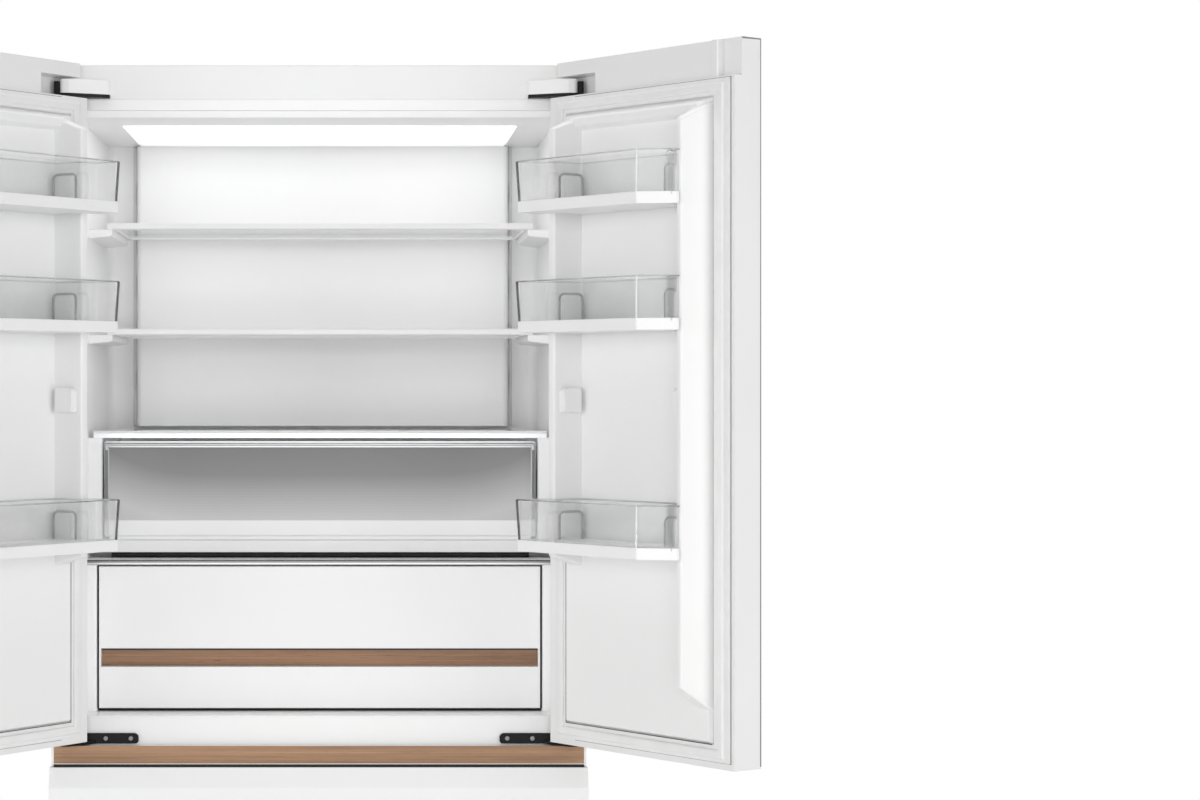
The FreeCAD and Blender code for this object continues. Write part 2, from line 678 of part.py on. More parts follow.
def shelf_frame(z):
    """Moulded rim round a glass pane, rounded along its front."""
    ring = prism_x([(SHELF_FRONT, z, 3), (SHELF_BACK, z), (SHELF_BACK, z + SHELF_T),
                    (SHELF_FRONT, z + SHELF_T, 3)], -SHELF_HALF, SHELF_HALF)
    window = box(-SHELF_HALF + SHELF_BAR, SHELF_HALF - SHELF_BAR, SHELF_FRONT + SHELF_BAR,
                 SHELF_BACK - SHELF_BAR, z - 1, z + SHELF_T + 1)
    return ring.cut([window, shelf_glass(z)])


def cover_shelf_glass():
    z = COVER_Z + COVER_FRAME_T
    return box(-COVER_HALF, COVER_HALF, SHELF_FRONT, SHELF_BACK, z, z + GLASS_T)


def cover_shelf_frame():
    z1 = COVER_Z + COVER_FRAME_T
    ring = box(-COVER_HALF, COVER_HALF, SHELF_FRONT, SHELF_BACK, COVER_Z, z1)
    return ring.cut(box(-COVER_HALF + 2 * SHELF_BAR, COVER_HALF - 2 * SHELF_BAR,
                        SHELF_FRONT + SHELF_BAR, SHELF_BACK - SHELF_BAR, COVER_Z - 1, z1 + 1))


def drawer_partition():
    """Shelf between the inner drawers, with a raised deck and a shadow gap under its nose."""
    plate_top = PARTITION_Z + PARTITION_T
    nose = PARTITION_TOP - LEDGE_SHOW
    corners = [(PARTITION_FRONT, PARTITION_Z), (PARTITION_FRONT, plate_top),
               (LEDGE_FRONT + SHADOW_D, plate_top), (LEDGE_FRONT + SHADOW_D, nose),
               (LEDGE_FRONT, nose), (LEDGE_FRONT, PARTITION_TOP, 2), (SHELF_BACK, PARTITION_TOP),
               (SHELF_BACK, PARTITION_Z)]
    return prism_x(corners, -INNER, INNER)


def partition_trim():
    z1 = PARTITION_Z + PARTITION_T
    y0 = PARTITION_FRONT - TRIM_T
    return prism_x([(y0, PARTITION_Z, 2), (PARTITION_FRONT, PARTITION_Z), (PARTITION_FRONT, z1),
                    (y0, z1, 2)], -INNER, INNER)


def chilled_front():
    return box(-CHILLED_HALF, CHILLED_HALF, SHELF_FRONT, SHELF_FRONT + GLASS_T, CHILLED_GLASS_Z,
               CHILLED_TOP - CHILLED_RIM)


def chilled_trim():
    """Bright frame over the top and down both sides of the chilled drawer's front."""
    out = CHILLED_HALF + CHILLED_POST
    z1 = CHILLED_TOP - CHILLED_RIM
    corners = [(-out, CHILLED_Z), (-out, CHILLED_TOP, 4), (out, CHILLED_TOP, 4), (out, CHILLED_Z),
               (CHILLED_HALF, CHILLED_Z), (CHILLED_HALF, z1), (-CHILLED_HALF, z1),
               (-CHILLED_HALF, CHILLED_Z)]
    return prism_y(corners, SHELF_FRONT - 2, SHELF_FRONT + GLASS_T)


def chilled_tub():
    """White drawer with its front grip strip."""
    z0 = PARTITION_TOP + RUN
    y0 = SHELF_FRONT + GLASS_T
    tub = open_tub(CHILLED_HALF, y0, SHELF_BACK, z0, CHILLED_TOP - CHILLED_RIM)
    strip = prism_x([(SHELF_FRONT, CHILLED_Z, 3), (y0, CHILLED_Z), (y0, CHILLED_GLASS_Z),
                     (SHELF_FRONT, CHILLED_GLASS_Z)], -CHILLED_HALF, CHILLED_HALF)
    return joined(tub, [strip])


def crisper_front():
    """Two white panels with a grip recess between them, undercut behind the upper one."""
    grip_z = CRISPER_Z + CRISPER_LOW
    lip_z = grip_z + CRISPER_GRIP
    back = CRISPER_FRONT + CRISPER_T
    block = prism_x([(CRISPER_FRONT, CRISPER_Z, 2), (back, CRISPER_Z), (back, CRISPER_TOP),
                     (CRISPER_FRONT, CRISPER_TOP, 2)], -CRISPER_HALF, CRISPER_HALF)
    recess = prism_x([(CRISPER_FRONT - 1, grip_z), (CRISPER_FRONT + CRISPER_POCKET, grip_z),
                      (CRISPER_FRONT + CRISPER_POCKET, lip_z + CRISPER_UNDERCUT),
                      (CRISPER_FRONT + CRISPER_LIP, lip_z + CRISPER_UNDERCUT),
                      (CRISPER_FRONT + CRISPER_LIP, lip_z), (CRISPER_FRONT - 1, lip_z)],
                     -CRISPER_HALF + CRISPER_END, CRISPER_HALF - CRISPER_END)
    return block.cut(recess)


def crisper_grip():
    """Wood-tone strip along the back of the grip recess."""
    z0 = CRISPER_Z + CRISPER_LOW
    back = CRISPER_FRONT + CRISPER_POCKET
    half = CRISPER_HALF - CRISPER_END
    return box(-half, half, back - GRIP_T, back, z0, z0 + CRISPER_GRIP + CRISPER_UNDERCUT)


def crisper_tub():
    """Tub hung by its side flanges on the runner ledges."""
    y0 = CRISPER_FRONT + CRISPER_T
    half = CRISPER_HALF - CRISPER_FLANGE
    tub = open_tub(half, y0, SHELF_BACK, CRISPER_Z, PARTITION_Z - TUB_DROP)
    z0 = RUNNER_Z + RUN
    flange = box(-CRISPER_HALF + CRISPER_FLANGE_GAP, -half, y0, SHELF_BACK, z0, z0 + CRISPER_FLANGE_T)
    return joined(tub, on_both_sides(flange))


def drawer_front(z0):
    """Drawer front with a bevelled top lip and a finger pocket behind it."""
    top = z0 + DRAWER_H
    lip = top - DRAWER_GRIP_H
    corners = [(DRAWER_FACE, z0, 3), (DRAWER_FACE, lip - DRAWER_LIP_DROP, 3),
               (DRAWER_FACE + DRAWER_LIP_SET, lip), (GRIP_Y, lip), (GRIP_Y, top),
               (-DOOR_GAP, top), (-DOOR_GAP, z0)]
    block = prism_x(corners, -DRAWER_HALF, DRAWER_HALF)
    half = DRAWER_HALF - GRIP_END
    pocket = box(-half, half, DRAWER_FACE + DRAWER_LIP_SET + DRAWER_LIP_T, GRIP_Y + GRIP_T,
                 lip - POCKET_DROP, top + 1)
    return block.cut(pocket)


def drawer_grip(z0):
    """Wood-tone strip that lines the back of the finger pocket."""
    half = DRAWER_HALF - GRIP_END
    top = z0 + DRAWER_H
    return box(-half, half, GRIP_Y, GRIP_Y + GRIP_T, top - DRAWER_GRIP_H - POCKET_DROP, top)


def seal_ring(x0, x1, z0, z1, band_x0, band_x1, band_z, y0, y1):
    """Flat seal strip with a raised bulb along its middle."""
    def ring(inset_x0, inset_x1, inset_z, width_x0, width_x1, width_z, low, high):
        outer = box(x0 + inset_x0, x1 - inset_x1, low, high, z0 + inset_z, z1 - inset_z)
        return outer.cut(box(x0 + inset_x0 + width_x0, x1 - inset_x1 - width_x1, low - 1, high + 1,
                             z0 + inset_z + width_z, z1 - inset_z - width_z))
    base = ring(0, 0, 0, band_x0, band_x1, band_z, y0, y0 + SEAL_BASE)
    side = (band_z - SEAL_BULB) / 2
    bulb = ring((band_x0 - SEAL_BULB) / 2, (band_x1 - SEAL_BULB) / 2, side, SEAL_BULB, SEAL_BULB,
                SEAL_BULB, y0 + SEAL_BASE, y1)
    crest = [edge for edge in bulb.Edges if edge.BoundBox.YMin > y1 - 0.01]
    return joined(base, [bulb.makeFillet(SEAL_R, crest)])


def drawer_gasket(z0):
    half = HALF - DRAWER_SEAL_SIDE
    band = DRAWER_SEAL_W
    return seal_ring(-half, half, z0 + DRAWER_SEAL_LOW, z0 + DRAWER_H - DRAWER_SEAL_TOP, band, band, band,
                     -DOOR_GAP, -SEAL_REST)


def drawer_tub(z0, end):
    return open_tub(TUB_HALF, -DOOR_GAP, end, z0 + TUB_LIFT, z0 + DRAWER_H - TUB_DROP_TOP)


def rail_ends(end):
    """Front and back of a drawer's rails."""
    return RAIL_SET, end - RAIL_SHORT


def drawer_rails(z0, end):
    """Fixed channels on both walls of the compartment."""
    a = z0 + RAIL_LIFT
    b = a + RAIL_H
    mouth = -TUB_HALF - SLIDE_T - SLIDE_GAP
    y0, y1 = rail_ends(end)
    channel = prism_y([(-INNER, a), (mouth, a), (mouth, a + RAIL_T), (-INNER + RAIL_T, a + RAIL_T),
                       (-INNER + RAIL_T, b - RAIL_T), (mouth, b - RAIL_T), (mouth, b), (-INNER, b)],
                      y0, y1)
    return on_both_sides(channel)


def drawer_slides(z0, end):
    """Steel slides on both sides of a tub, their tongues running in the channels."""
    a = z0 + RAIL_LIFT
    b = a + RAIL_H
    y0, y1 = rail_ends(end)
    web = -TUB_HALF - SLIDE_T
    low = a + RAIL_T + RUN
    high = b - RAIL_T - RUN
    tip = -INNER + RAIL_T + RUN
    foot = a - SLIDE_FLANGE
    head = b + SLIDE_FLANGE
    slide = prism_y([(-TUB_HALF, foot), (web, foot), (web, low), (tip, low), (tip, high), (web, high),
                     (web, head), (-TUB_HALF, head)], y0, y1)
    return on_both_sides(slide)


def dike(rect, inset, q):
    """One rounded, drafted ridge of the door liner, shrunk by a wall."""
    base, top = rect
    def shrunk(sides):
        x0, x1, z0, z1 = sides
        return (x0 + inset, x1 - inset, z0 + inset, z1 - inset)
    return frustum(shrunk(base), shrunk(top), 0, q - inset, DIKE_R - inset / 2)


def liner_form(inset):
    """Raised form of the door liner: panel, two side dikes and a rib across the top."""
    z0 = DOOR_Z0 + PANEL_Z0
    z1 = DOOR_Z1 - PANEL_TOP
    in_draft = PANEL_DRAFT + inset
    panel = frustum((PANEL_E0 + inset, PANEL_E1 - inset, z0 + inset, z1 - inset),
                    (PANEL_E0 + in_draft, PANEL_E1 - in_draft, z0 + in_draft, z1 - in_draft),
                    0, PANEL_Q - inset, PANEL_R - inset / 2)
    top = z1 - DIKE_TOP
    foot = PARTITION_Z + PARTITION_T + RUN
    near = dike(((DIKE_E0, DIKE_E1, foot, top),
                 (DIKE_E0 + DIKE_OUTER_DRAFT, DIKE_E1 - DIKE_INNER_DRAFT, foot + DIKE_FOOT_DRAFT,
                  top - DIKE_TOP_DRAFT)), inset, DIKE_Q)
    foot = DOOR_Z0 + FAR_FOOT_Z
    far = dike(((FAR_DIKE_E0, FAR_DIKE_E1, foot, top),
                (FAR_DIKE_E0 + FAR_INNER_DRAFT, FAR_DIKE_E1 - FAR_OUTER_DRAFT, foot + FAR_FOOT_DRAFT,
                 top - FAR_TOP_DRAFT)), inset, DIKE_Q)
    e0 = DIKE_E0 + RIB_SET
    e1 = FAR_DIKE_E1 - RIB_END
    top = z1 - RIB_TOP
    rib = dike(((e0, e1, top - RIB_H, top),
                (e0 + RIB_SET, e1 - RIB_SET, top - RIB_H + RIB_DRAFT, top - RIB_DRAFT)), inset, RIB_Q)
    return joined(panel, [near, far, rib])


def boss_levels():
    """Bottoms of the bin supports, one set spare."""
    return [base + TRAY_H + BOSS_LIFT for base in BIN_BASES] + [SPARE_BOSS]


def arch(q0, q1, z0, z1, radius):
    """Upright outline with rounded top corners."""
    return [(q0, z0), (q1, z0), (q1, z1, radius), (q0, z1, radius)]


def bosses():
    """Support pads on the facing sides of the two dikes."""
    near = DIKE_E1 - BOSS_ROOT
    far = FAR_DIKE_E0 + FAR_BOSS_ROOT
    pads = []
    for z in boss_levels():
        corners = arch(BOSS_Q0, BOSS_Q1, z, z + BOSS_H, BOSS_R)
        pads.append(prism_x(corners, near, DIKE_E1 + BOSS_E))
        pads.append(prism_x(corners, FAR_DIKE_E0 - BOSS_E, far))
    return pads


def flap_ears():
    """Arms that carry the centre flap, standing off the free-side dike, with their pins."""
    y0 = DOOR_GAP + FLAP_GAP
    flap_q = y0 + FLAP_R
    ears = []
    for z in EAR_LEVELS:
        root = FAR_DIKE_E1 - EAR_ROOT
        arm = prism_z([(root, y0), (FLAP_E + FLAP_R, y0, EAR_R), (FLAP_E + FLAP_R, y0 + 2 * FLAP_R, EAR_R),
                       (root, y0 + 2 * FLAP_R)], z, z + EAR_H)
        pin = rod(EAR_PIN_R, Vector(FLAP_E, flap_q, z - EAR_PIN_L),
                  Vector(FLAP_E, flap_q, z + EAR_H + EAR_PIN_L))
        ears += [arm, pin]
    return ears


def door_liner(ears):
    shell = liner_form(0).cut(liner_form(LINER))
    inside = liner_form(LINER)
    pads = [pad.cut(inside) for pad in bosses()]
    return joined(shell, pads + [ear.cut(inside) for ear in ears])


def door_body():
    """Foamed door slab with a thinner top strip, the hinge pocket and two pin holes."""
    slab = prism_z([(0, -DOOR_T, DOOR_EDGE_R), (DOOR_W, -DOOR_T, DOOR_EDGE_R), (DOOR_W, 0), (0, 0)],
                   DOOR_Z0, DOOR_Z1)
    cap = box(-1, DOOR_W + 1, -CAP_SET, 1, CAP_Z, DOOR_Z1 + 1)
    notch = box(-1, NOTCH_W, -DOOR_T + NOTCH_SKIN, 1, CAP_Z, CAP_Z + NOTCH_H)
    holes = [rod(PIN_R + PIN_PLAY, Vector(PIVOT_E, -PIVOT_Q, z0), Vector(PIVOT_E, -PIVOT_Q, z1))
             for z0, z1 in ((CAP_Z - PIN_IN - 2, CAP_Z + 1), (DOOR_Z0 - 1, DOOR_Z0 + PIN_IN + 2))]
    return joined(slab.cut([cap, notch] + holes), [liner_form(LINER)])


def door_gasket():
    z0 = DOOR_Z0 + SEAL_Z0
    z1 = DOOR_Z1 - SEAL_TOP
    near = PANEL_E0 - SEAL_E0 - SEAL_REST
    far = SEAL_E1 - FAR_DIKE_E1 - SEAL_DIKE_GAP
    return seal_ring(SEAL_E0, SEAL_E1, z0, z1, near, far, SEAL_W, 0, DOOR_GAP - SEAL_REST)


def bin_outline(inset):
    """Plan of a bin: narrow between the dikes, wider in front, one front corner cut off."""
    near = DIKE_E1 + BIN_GAP + inset
    far = FAR_DIKE_E0 - BIN_GAP - inset
    ridge = DIKE_Q + BIN_RIDGE_GAP + inset
    flare = ridge + BIN_SLOPE
    wide0 = near - BIN_FLARE
    wide1 = far + BIN_FLARE
    front = BIN_Q1 - inset
    corner = BIN_CHAMFER - inset * (2 - math.sqrt(2))
    return [(near, BIN_Q0 + inset), (near, ridge), (wide0, flare), (wide0, front, BIN_R),
            (wide1 - corner, front, BIN_CUT_R), (wide1, front - corner, BIN_R), (wide1, flare),
            (far, ridge), (far, BIN_Q0 + inset)]


def boss_slots(grow, z0, z1):
    """Spaces in a bin's two sides that slip down over the bosses."""
    near = DIKE_E1 + BOSS_E + BOSS_GAP + grow
    far = FAR_DIKE_E0 - BOSS_E - BOSS_GAP - grow
    side = DIKE_E1 + BIN_GAP - (0 if grow else 1)
    far_side = FAR_DIKE_E0 - BIN_GAP + (0 if grow else 1)
    corners = arch(BOSS_Q0 - BOSS_GAP - grow, BOSS_Q1 + BOSS_GAP + grow, z0, z1, BOSS_R + grow)
    return [prism_x(corners, side, near), prism_x(corners, far, far_side)]


def bin_tray(z0):
    tray = prism_z(bin_outline(0), z0, z0 + TRAY_H)
    well = prism_z(bin_outline(2 * BIN_T), z0 + TRAY_H - WELL_D, z0 + TRAY_H + 1)
    return tray.cut([well] + boss_slots(0, z0 - 1, z0 + TRAY_H + BOSS_LIFT + BOSS_H))


def bin_wall(base):
    """Clear rim of a bin, standing on its tray, with channels over the bosses."""
    z0 = base + TRAY_H
    z1 = base + BIN_H
    roof = z0 + BOSS_LIFT + BOSS_H
    rim = prism_z(bin_outline(0), z0, z1).cut(prism_z(bin_outline(BIN_T), z0 - 1, z1 + 1))
    channels = boss_slots(BIN_T, z0, roof + BIN_T)
    return rim.fuse(channels).cut(boss_slots(0, z0 - 1, roof)).removeSplitter()


def centre_flap():
    """Flap between the doors, drawn in the place it takes when the doors are shut."""
    y0 = DOOR_GAP + FLAP_GAP
    z0 = FLOOR + FLAP_END
    z1 = CEILING - FLAP_END
    flap_q = y0 + FLAP_R
    corners = [(FLAP_E - FLAP_R, y0, FLAP_R - 0.01), (FLAP_E - FLAP_R + FLAP_W, y0),
               (FLAP_E - FLAP_R + FLAP_W, y0 + FLAP_T, FLAP_R),
               (FLAP_E - FLAP_R, y0 + FLAP_T, FLAP_HEEL_R)]
    bar = prism_z(corners, z0, z1)
    cuts = []
    for z in EAR_LEVELS:
        cuts.append(box(FLAP_E - FLAP_NOTCH_IN, FLAP_E + FLAP_NOTCH_OUT, y0 - 1, y0 + FLAP_T + 1, z - RUN,
                        z + EAR_H + RUN))
        cuts.append(rod(EAR_PIN_R + PIN_PLAY, Vector(FLAP_E, flap_q, z - EAR_PIN_L - 1),
                        Vector(FLAP_E, flap_q, z + EAR_H + EAR_PIN_L + 1)))
    bar = bar.cut(cuts)
    bar.rotate(Vector(FLAP_E, flap_q, 0), Vector(0, 0, 1), 90)
    return bar


def hung(shape):
    """Move a left door piece from its own frame to the open door."""
    placed = shape.translated(Vector(-DOOR_EDGE, -DOOR_GAP, 0))
    placed.rotate(Vector(-PIVOT_X, PIVOT_Y, 0), Vector(0, 0, 1), -OPEN_ANGLE)
    return placed


def hinge_plan(inset, root):
    """Plan of the top hinge: a low end along the beam, swelling out to the pin."""
    end = -PIVOT_X + HINGE_REACH - inset
    near = -HINGE_LOW + inset
    tip = PIVOT_Y - HINGE_R + inset
    side = -PIVOT_X - HINGE_R + inset
    r = HINGE_R - inset - 0.5
    heel = -PIVOT_X + HINGE_HEEL + inset
    return [(heel, root), (heel, 0), (side, PIVOT_Y + 3 + inset, 4), (side, tip, r),
            (-PIVOT_X + HINGE_R - inset, tip, r), (end, near, ARM_R), (end, root)]


def upper_screw_places():
    z = HINGE_Z + COVER_H / 2
    return [(-PIVOT_X + reach, z) for reach in UPPER_SCREWS]


def lower_screw_places():
    z = DRAWER_TOP + LOWER_LIFT + LOWER_PLATE_H / 2
    return [(-PIVOT_X + reach, z) for reach in LOWER_SCREWS]


def screw_holes(places, y0, y1):
    holes = [rod(SCREW_R + SCREW_PLAY, Vector(x, y0, z), Vector(x, y1, z)) for x, z in places]
    return holes + [mirrored(hole) for hole in holes]


def upper_screw_holes():
    return screw_holes(upper_screw_places(), -20, SCREW_L)


def lower_screw_holes():
    return screw_holes(lower_screw_places(), -20, SCREW_L)


def screw(x, z, seat):
    """Pan-head screw, its head on a seat plane."""
    head = Part.makeCylinder(SCREW_HEAD_R, SCREW_HEAD_H, Vector(x, seat, z), Vector(0, -1, 0))
    head = head.makeFillet(SCREW_HEAD_H / 2, [edge for edge in head.Edges if edge.BoundBox.YMax < seat - 1])
    return head.fuse(rod(SCREW_R, Vector(x, seat, z), Vector(x, seat + SCREW_L, z))).removeSplitter()


def hinge_screws():
    seat = -HINGE_T
    places = upper_screw_places() + lower_screw_places()
    left = [screw(x, z, seat) for x, z in places]
    return left + [mirrored(piece) for piece in left]


def door_stop():
    """Post at the tip of the top hinge, beyond the cover, with its foot in the arm."""
    outer = -PIVOT_X - STOP_REACH
    pieces = []
    for inner, z0, z1 in ((-PIVOT_X - HINGE_R + 2, HINGE_Z - HINGE_T, HINGE_Z),
                          (-PIVOT_X - HINGE_R - STOP_GAP, HINGE_Z - HINGE_T, HINGE_Z + STOP_H)):
        corners = [(outer, PIVOT_Y - STOP_HALF, STOP_R), (inner, PIVOT_Y - STOP_HALF),
                   (inner, PIVOT_Y + STOP_HALF), (outer, PIVOT_Y + STOP_HALF, STOP_R)]
        pieces.append(prism_z(corners, z0, z1))
    return pieces


def top_hinge():
    """Black steel arm with a leg screwed to the top beam, the upper pin and the door's stop."""
    z0 = HINGE_Z
    arm = prism_z(hinge_plan(ARM_INSET, 0), z0 - HINGE_T, z0)
    leg = box(-PIVOT_X + HINGE_HEEL + LEG_SET, -PIVOT_X + HINGE_REACH - LEG_SET, -HINGE_T, 0, z0,
              z0 + COVER_H - LEG_DROP)
    pin = rod(PIN_R, Vector(-PIVOT_X, PIVOT_Y, CAP_Z - PIN_IN), Vector(-PIVOT_X, PIVOT_Y, z0 - 1))
    return joined(arm, [leg, pin] + door_stop()).cut(upper_screw_holes())


def hinge_cover():
    """White cover over the top hinge."""
    z0 = HINGE_Z
    z1 = z0 + COVER_H
    shell = prism_z(hinge_plan(0, 0), z0, z1)
    raised = [edge for edge in shell.Edges if edge.BoundBox.ZMin > z1 - 0.01
              and edge.BoundBox.YMin < -0.01]
    shell = shell.makeFillet(COVER_R, raised)
    return shell.cut(prism_z(hinge_plan(COVER_T, 1), z0 - 1, z1 - COVER_T))


def lower_hinge():
    """Black steel plate on the mid beam with an arm under the door and the lower pin."""
    z_arm = DRAWER_TOP + LOWER_LIFT
    inner = -PIVOT_X + LOWER_PLATE_X
    outer = inner - LOWER_PLATE_W
    z1 = z_arm + LOWER_PLATE_H
    plate = prism_y([(outer, z_arm), (inner, z_arm, LOWER_FOOT_R), (inner, z1, LOWER_PLATE_R),
                     (outer, z1)], -HINGE_T, 0)
    side = -PIVOT_X - HINGE_R
    tip = PIVOT_Y - HINGE_R
    arm_end = outer + LOWER_ARM_LAP
    arm = prism_z([(side, 0), (side, tip, HINGE_R - 0.5), (-PIVOT_X + HINGE_R, tip, HINGE_R - 0.5),
                   (arm_end, -HINGE_T), (arm_end, 0)], z_arm, z_arm + HINGE_T)
    pin = rod(PIN_R, Vector(-PIVOT_X, PIVOT_Y, z_arm + 1), Vector(-PIVOT_X, PIVOT_Y, DOOR_Z0 + PIN_IN))
    return joined(plate, [arm, pin]).cut(lower_screw_holes())


def evaporator():
    """Finned coil behind the back panel."""
    z0 = COVER_Z + COIL_LIFT
    y0 = FRIDGE_BACK - FIN_D
    y = FRIDGE_BACK - FIN_D / 2
    reach = FIN_W / 2 + COIL_END
    pitch = FIN_W / (FIN_COUNT - 1)
    fins = [box(-FIN_W / 2 + i * pitch, -FIN_W / 2 + i * pitch + FIN_T, y0, FRIDGE_BACK, z0, z0 + FIN_H)
            for i in range(FIN_COUNT)]
    tubes = [rod(COIL_R, Vector(-reach, y, z0 + FIN_H * share), Vector(reach, y, z0 + FIN_H * share))
             for share in COIL_SHARES]
    return joined(fins[0], fins[1:] + tubes)


def evaporator_fan():
    """Fan wheel turning on the shaft behind the back panel."""
    y0 = AIR_FACE + AIR_T + MOTOR_T + RUN
    y1 = y0 + FAN_T - 1
    centre = Vector(0, y0, FAN_Z)
    hub = rod(FAN_HUB_R, centre, Vector(0, y1, FAN_Z))
    middle = (y0 + y1) / 2
    blade = box(FAN_HUB_R - BLADE_T, FAN_R, middle - BLADE_T / 2, middle + BLADE_T / 2, -BLADE_HALF,
                BLADE_HALF)
    blade = blade.common(rod(FAN_R, Vector(0, y0, 0), Vector(0, y1, 0)))
    blade.rotate(Vector(0, middle, 0), Vector(1, 0, 0), BLADE_TURN)
    blade.translate(Vector(0, 0, FAN_Z))
    blades = []
    for i in range(FAN_BLADES):
        turned = blade.copy()
        turned.rotate(centre, Vector(0, 1, 0), 360 * i / FAN_BLADES)
        blades.append(turned)
    wheel = hub.fuse(blades).removeSplitter()
    return wheel.cut(rod(FAN_SHAFT_R + PIN_PLAY, Vector(0, y0 - 1, FAN_Z), Vector(0, y1 + 1, FAN_Z)))


def compressor():
    """Welded pot on a foot plate with four rubber grommets."""
    y = (MACHINE_Y + DEPTH) / 2
    plate_z = PAN_TOP + POT_FOOT_H
    pot_z = plate_z + POT_PLATE_T
    crown = pot_z + POT_H
    half = [(0, pot_z), (POT_FLAT_R, pot_z, POT_RIM_R), (POT_R, pot_z + POT_DOME, POT_DOME_R),
            (POT_R, crown - POT_DOME, POT_DOME_R), (POT_FLAT_R, crown, POT_RIM_R), (0, crown)]
    face = Part.Face(outline(half, lambda p: Vector(POT_X + p.x, y, p.y)))
    pot = face.revolve(Vector(POT_X, y, 0), Vector(0, 0, 1), 360)
    plate = box(POT_X - POT_PLATE_X, POT_X + POT_PLATE_X, y - POT_PLATE_Y, y + POT_PLATE_Y, plate_z, pot_z)
    corners = [(POT_X + sx * POT_FOOT_X, y + sy * POT_FOOT_Y) for sx in (-1, 1) for sy in (-1, 1)]
    feet = [rod(POT_FOOT_R, Vector(fx, fy, PAN_TOP), Vector(fx, fy, plate_z)) for fx, fy in corners]
    return joined(pot, [plate] + feet)


def rear_cover():
    """Slotted cover over the compressor bay."""
    half = HALF - SHEET - 1
    z0 = PAN_TOP
    z1 = MACHINE_Z
    plate = box(-half, half, DEPTH - PAN, DEPTH, z0, z1)
    pitch = (z1 - z0) / (SLOT_ROWS + 2)
    slots = []
    for row in range(SLOT_ROWS):
        z = z0 + pitch * (row + 1.5)
        for x0 in (SLOT_MARGIN - half, SLOT_MARGIN):
            x1 = x0 + half - 2 * SLOT_MARGIN
            slots.append(prism_y([(x0, z, SLOT_R), (x1, z, SLOT_R), (x1, z + SLOT_H, SLOT_R),
                                  (x0, z + SLOT_H, SLOT_R)], DEPTH - PAN - 1, DEPTH + 1))
    return plate.cut(slots)


def front_foot():
    """Levelling foot with its screwed stem."""
    base = Vector(-FOOT_X, FOOT_Y, 0)
    foot = Part.makeCylinder(FOOT_R, FOOT_H, base)
    foot = foot.makeFillet(FOOT_EDGE_R, [edge for edge in foot.Edges if edge.BoundBox.ZMin > FOOT_H - 1])
    stem = rod(STEM_R, Vector(-FOOT_X, FOOT_Y, FOOT_H - 1), Vector(-FOOT_X, FOOT_Y, CASE_FOOT - RUN))
    return joined(foot, [stem])


def rear_roller():
    centre = Vector(-FOOT_X - ROLLER_W / 2, ROLLER_Y, ROLLER_R)
    end = centre + Vector(ROLLER_W, 0, 0)
    wheel = rod(ROLLER_R, centre, end)
    return wheel.cut(rod(AXLE_R + PIN_PLAY, centre - Vector(1, 0, 0), end + Vector(1, 0, 0)))


def write(name, pieces):
    """Save one node; its origin is under the middle of the object, on the floor."""
    solids = pieces if isinstance(pieces, list) else [pieces]
    shape = solids[0] if len(solids) == 1 else Part.makeCompound(solids)
    shape = shape.translated(Vector(0, -origin_y(), 0))
    shape.exportStep("parts/" + name + ".step")


def write_pair(name, left):
    """Save a left piece and its mirror image."""
    write(name + "_left", left)
    write(name + "_right", [mirrored(piece) for piece in left] if isinstance(left, list) else mirrored(left))


def main():
    os.makedirs("parts", exist_ok=True)
    for make in (outer_case, rear_panel, base_pan, fridge_liner, freezer_liner, foam_core, top_beam,
                 mid_beam, freezer_beam, kick_plate, air_panel, light_cover, cover_shelf_glass,
                 cover_shelf_frame, drawer_partition, partition_trim, chilled_front, chilled_trim,
                 chilled_tub, crisper_front, crisper_grip, crisper_tub, hinge_screws, evaporator,
                 evaporator_fan, compressor, rear_cover):
        write(make.__name__, make())
    write("shelf_glass", [shelf_glass(level) for level in SHELF_LEVELS])
    write("shelf_frames", [shelf_frame(level) for level in SHELF_LEVELS])
    rails = []
    for name, z0, end in (("lower", LOWER_Z0, LOWER_TUB_END), ("upper", UPPER_Z0, UPPER_TUB_END)):
        write(name + "_drawer_front", drawer_front(z0))
        write(name + "_drawer_grip", drawer_grip(z0))
        write(name + "_drawer_gasket", drawer_gasket(z0))
        write(name + "_drawer_tub", drawer_tub(z0, end))
        write(name + "_drawer_slides", drawer_slides(z0, end))
        rails += drawer_rails(z0, end)
    write("drawer_rails", rails)
    write_pair("door_body", hung(door_body()))
    write_pair("door_gasket", hung(door_gasket()))
    write("door_liner_left", hung(door_liner(flap_ears())))
    write("door_liner_right", mirrored(hung(door_liner([]))))
    write_pair("bin_trays", [hung(bin_tray(base)) for base in BIN_BASES])
    write_pair("bin_walls", [hung(bin_wall(base)) for base in BIN_BASES])
    write("centre_flap", hung(centre_flap()))
    write_pair("top_hinge", top_hinge())
    write_pair("hinge_cover", hinge_cover())
    write_pair("lower_hinge", lower_hinge())
    write_pair("front_foot", front_foot())
    write("rear_rollers", on_both_sides(rear_roller()))


main()
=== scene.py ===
"""Studio scene of the open French-door refrigerator: finishes, small fittings, light and camera."""
import json
import math

